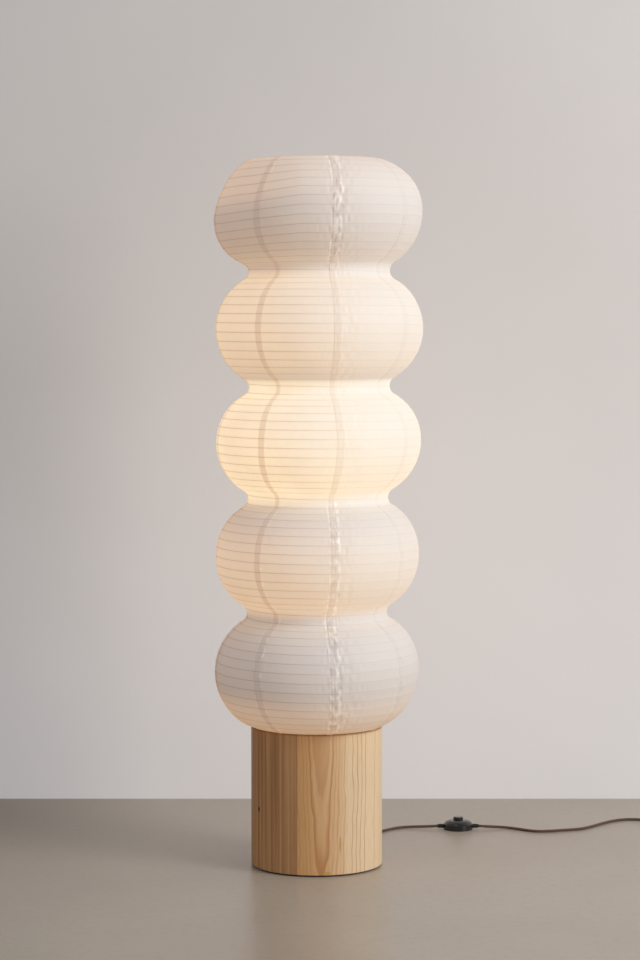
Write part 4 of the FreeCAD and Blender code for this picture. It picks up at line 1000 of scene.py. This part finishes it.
def feltFinish():
    felt = Finish("felt", Roughness=0.95, Sheen_Weight=0.4)
    fuzz = felt.noise(felt.place(), 1200.0, 4.0, 0.7)
    tone = felt.mix(fuzz, seen(0.13, 0.12, 0.115), seen(0.24, 0.225, 0.21))
    return felt.give(Base_Color=tone, Normal=felt.bump(fuzz, 0.3 * mm, 0.8))


def opalFinish():
    opal = Finish("opalGlass", Roughness=0.3, Emission_Strength=2.5)
    rise = opal.ease(opal.split(opal.place())[2], 0.800, 0.850)
    warm = opal.mix(rise, seen(0.98, 0.86, 0.70), seen(1.0, 0.93, 0.82))
    cloud = opal.noise(opal.place(), 60.0, 2.0)
    base = opal.mix(opal.ease(cloud, 0.3, 0.7), seen(0.95, 0.93, 0.90), seen(0.92, 0.90, 0.86))
    return opal.give(Base_Color=base, Emission_Color=warm)


def boardFinish():
    board = Finish("ledBoard", Specular_IOR_Level=0.5)
    cells = board.node("ShaderNodeTexVoronoi", sockets={"Vector": board.place(), "Scale": 500.0})
    tone = board.mix(board.ease(cells, 0.0, 0.6), seen(0.93, 0.93, 0.91), seen(0.85, 0.86, 0.84))
    return board.give(Base_Color=tone, Roughness=board.ease(cells, 0.0, 0.6, 0.35, 0.5))


finishes = {
    "felt": feltFinish(),
    "pine": pineFinish(),
    "plywood": plyFinish(),
    "zinc_steel": metalFinish("zincPlatedSteel", (0.66, 0.66, 0.63), 0.32),
    "iron": paintedFinish("castIron", seen(0.20, 0.20, 0.205), 0.6),
    "clamp_plastic": mouldedFinish("nylonClamp", seen(0.86, 0.85, 0.81), 0.45),
    "black_rubber": mouldedFinish("blackRubber", seen(0.10, 0.095, 0.09), 0.7, 0.4),
    "cord_braid": cordFinish,
    "white_metal": paintedFinish("whiteEnamel", seen(0.88, 0.87, 0.85), 0.4),
    "brass": metalFinish("brass", (0.78, 0.60, 0.31), 0.28),
    "holder_black": mouldedFinish("holderBlack", seen(0.11, 0.11, 0.11), 0.35),
    "porcelain": mouldedFinish("porcelain", seen(0.93, 0.92, 0.89), 0.22, 0.1, 200.0, Coat_Weight=0.6),
    "bulb_metal": metalFinish("nickel", (0.70, 0.69, 0.66), 0.22),
    "black_glass": mouldedFinish("blackGlass", seen(0.06, 0.06, 0.07), 0.12, 0.05),
    "bulb_plastic": mouldedFinish("bulbPlastic", seen(0.92, 0.91, 0.89), 0.35),
    "board_white": boardFinish(),
    "opal_glass": opalFinish(),
    "ring_steel": metalFinish("ringSteel", (0.42, 0.40, 0.38), 0.38),
    "rib_wire": ribLook,
    "paper": mouldedFinish("plainPaper", seen(0.93, 0.92, 0.90), 0.6),
    "black_plastic": mouldedFinish("switchBlack", seen(0.085, 0.082, 0.085), 0.2, 0.12, 1500.0,
                                   Coat_Weight=0.35, Coat_Roughness=0.12),
    "contact_block": mouldedFinish("contactBlock", seen(0.55, 0.50, 0.40), 0.5),
    "spring_steel": metalFinish("springSteel", (0.55, 0.56, 0.57), 0.25),
    "plug_plastic": mouldedFinish("plugPlastic", seen(0.115, 0.10, 0.095), 0.42, 0.25),
    "blade_metal": metalFinish("plugBlades", (0.74, 0.71, 0.64), 0.25),
}


def dressNodes():
    for part in frame["record"]["subparts"]:
        for place in nodes[part["node"]].material_slots:
            place.material = finishes[part["material_slot"]]


dressNodes()
print("nodes dressed")
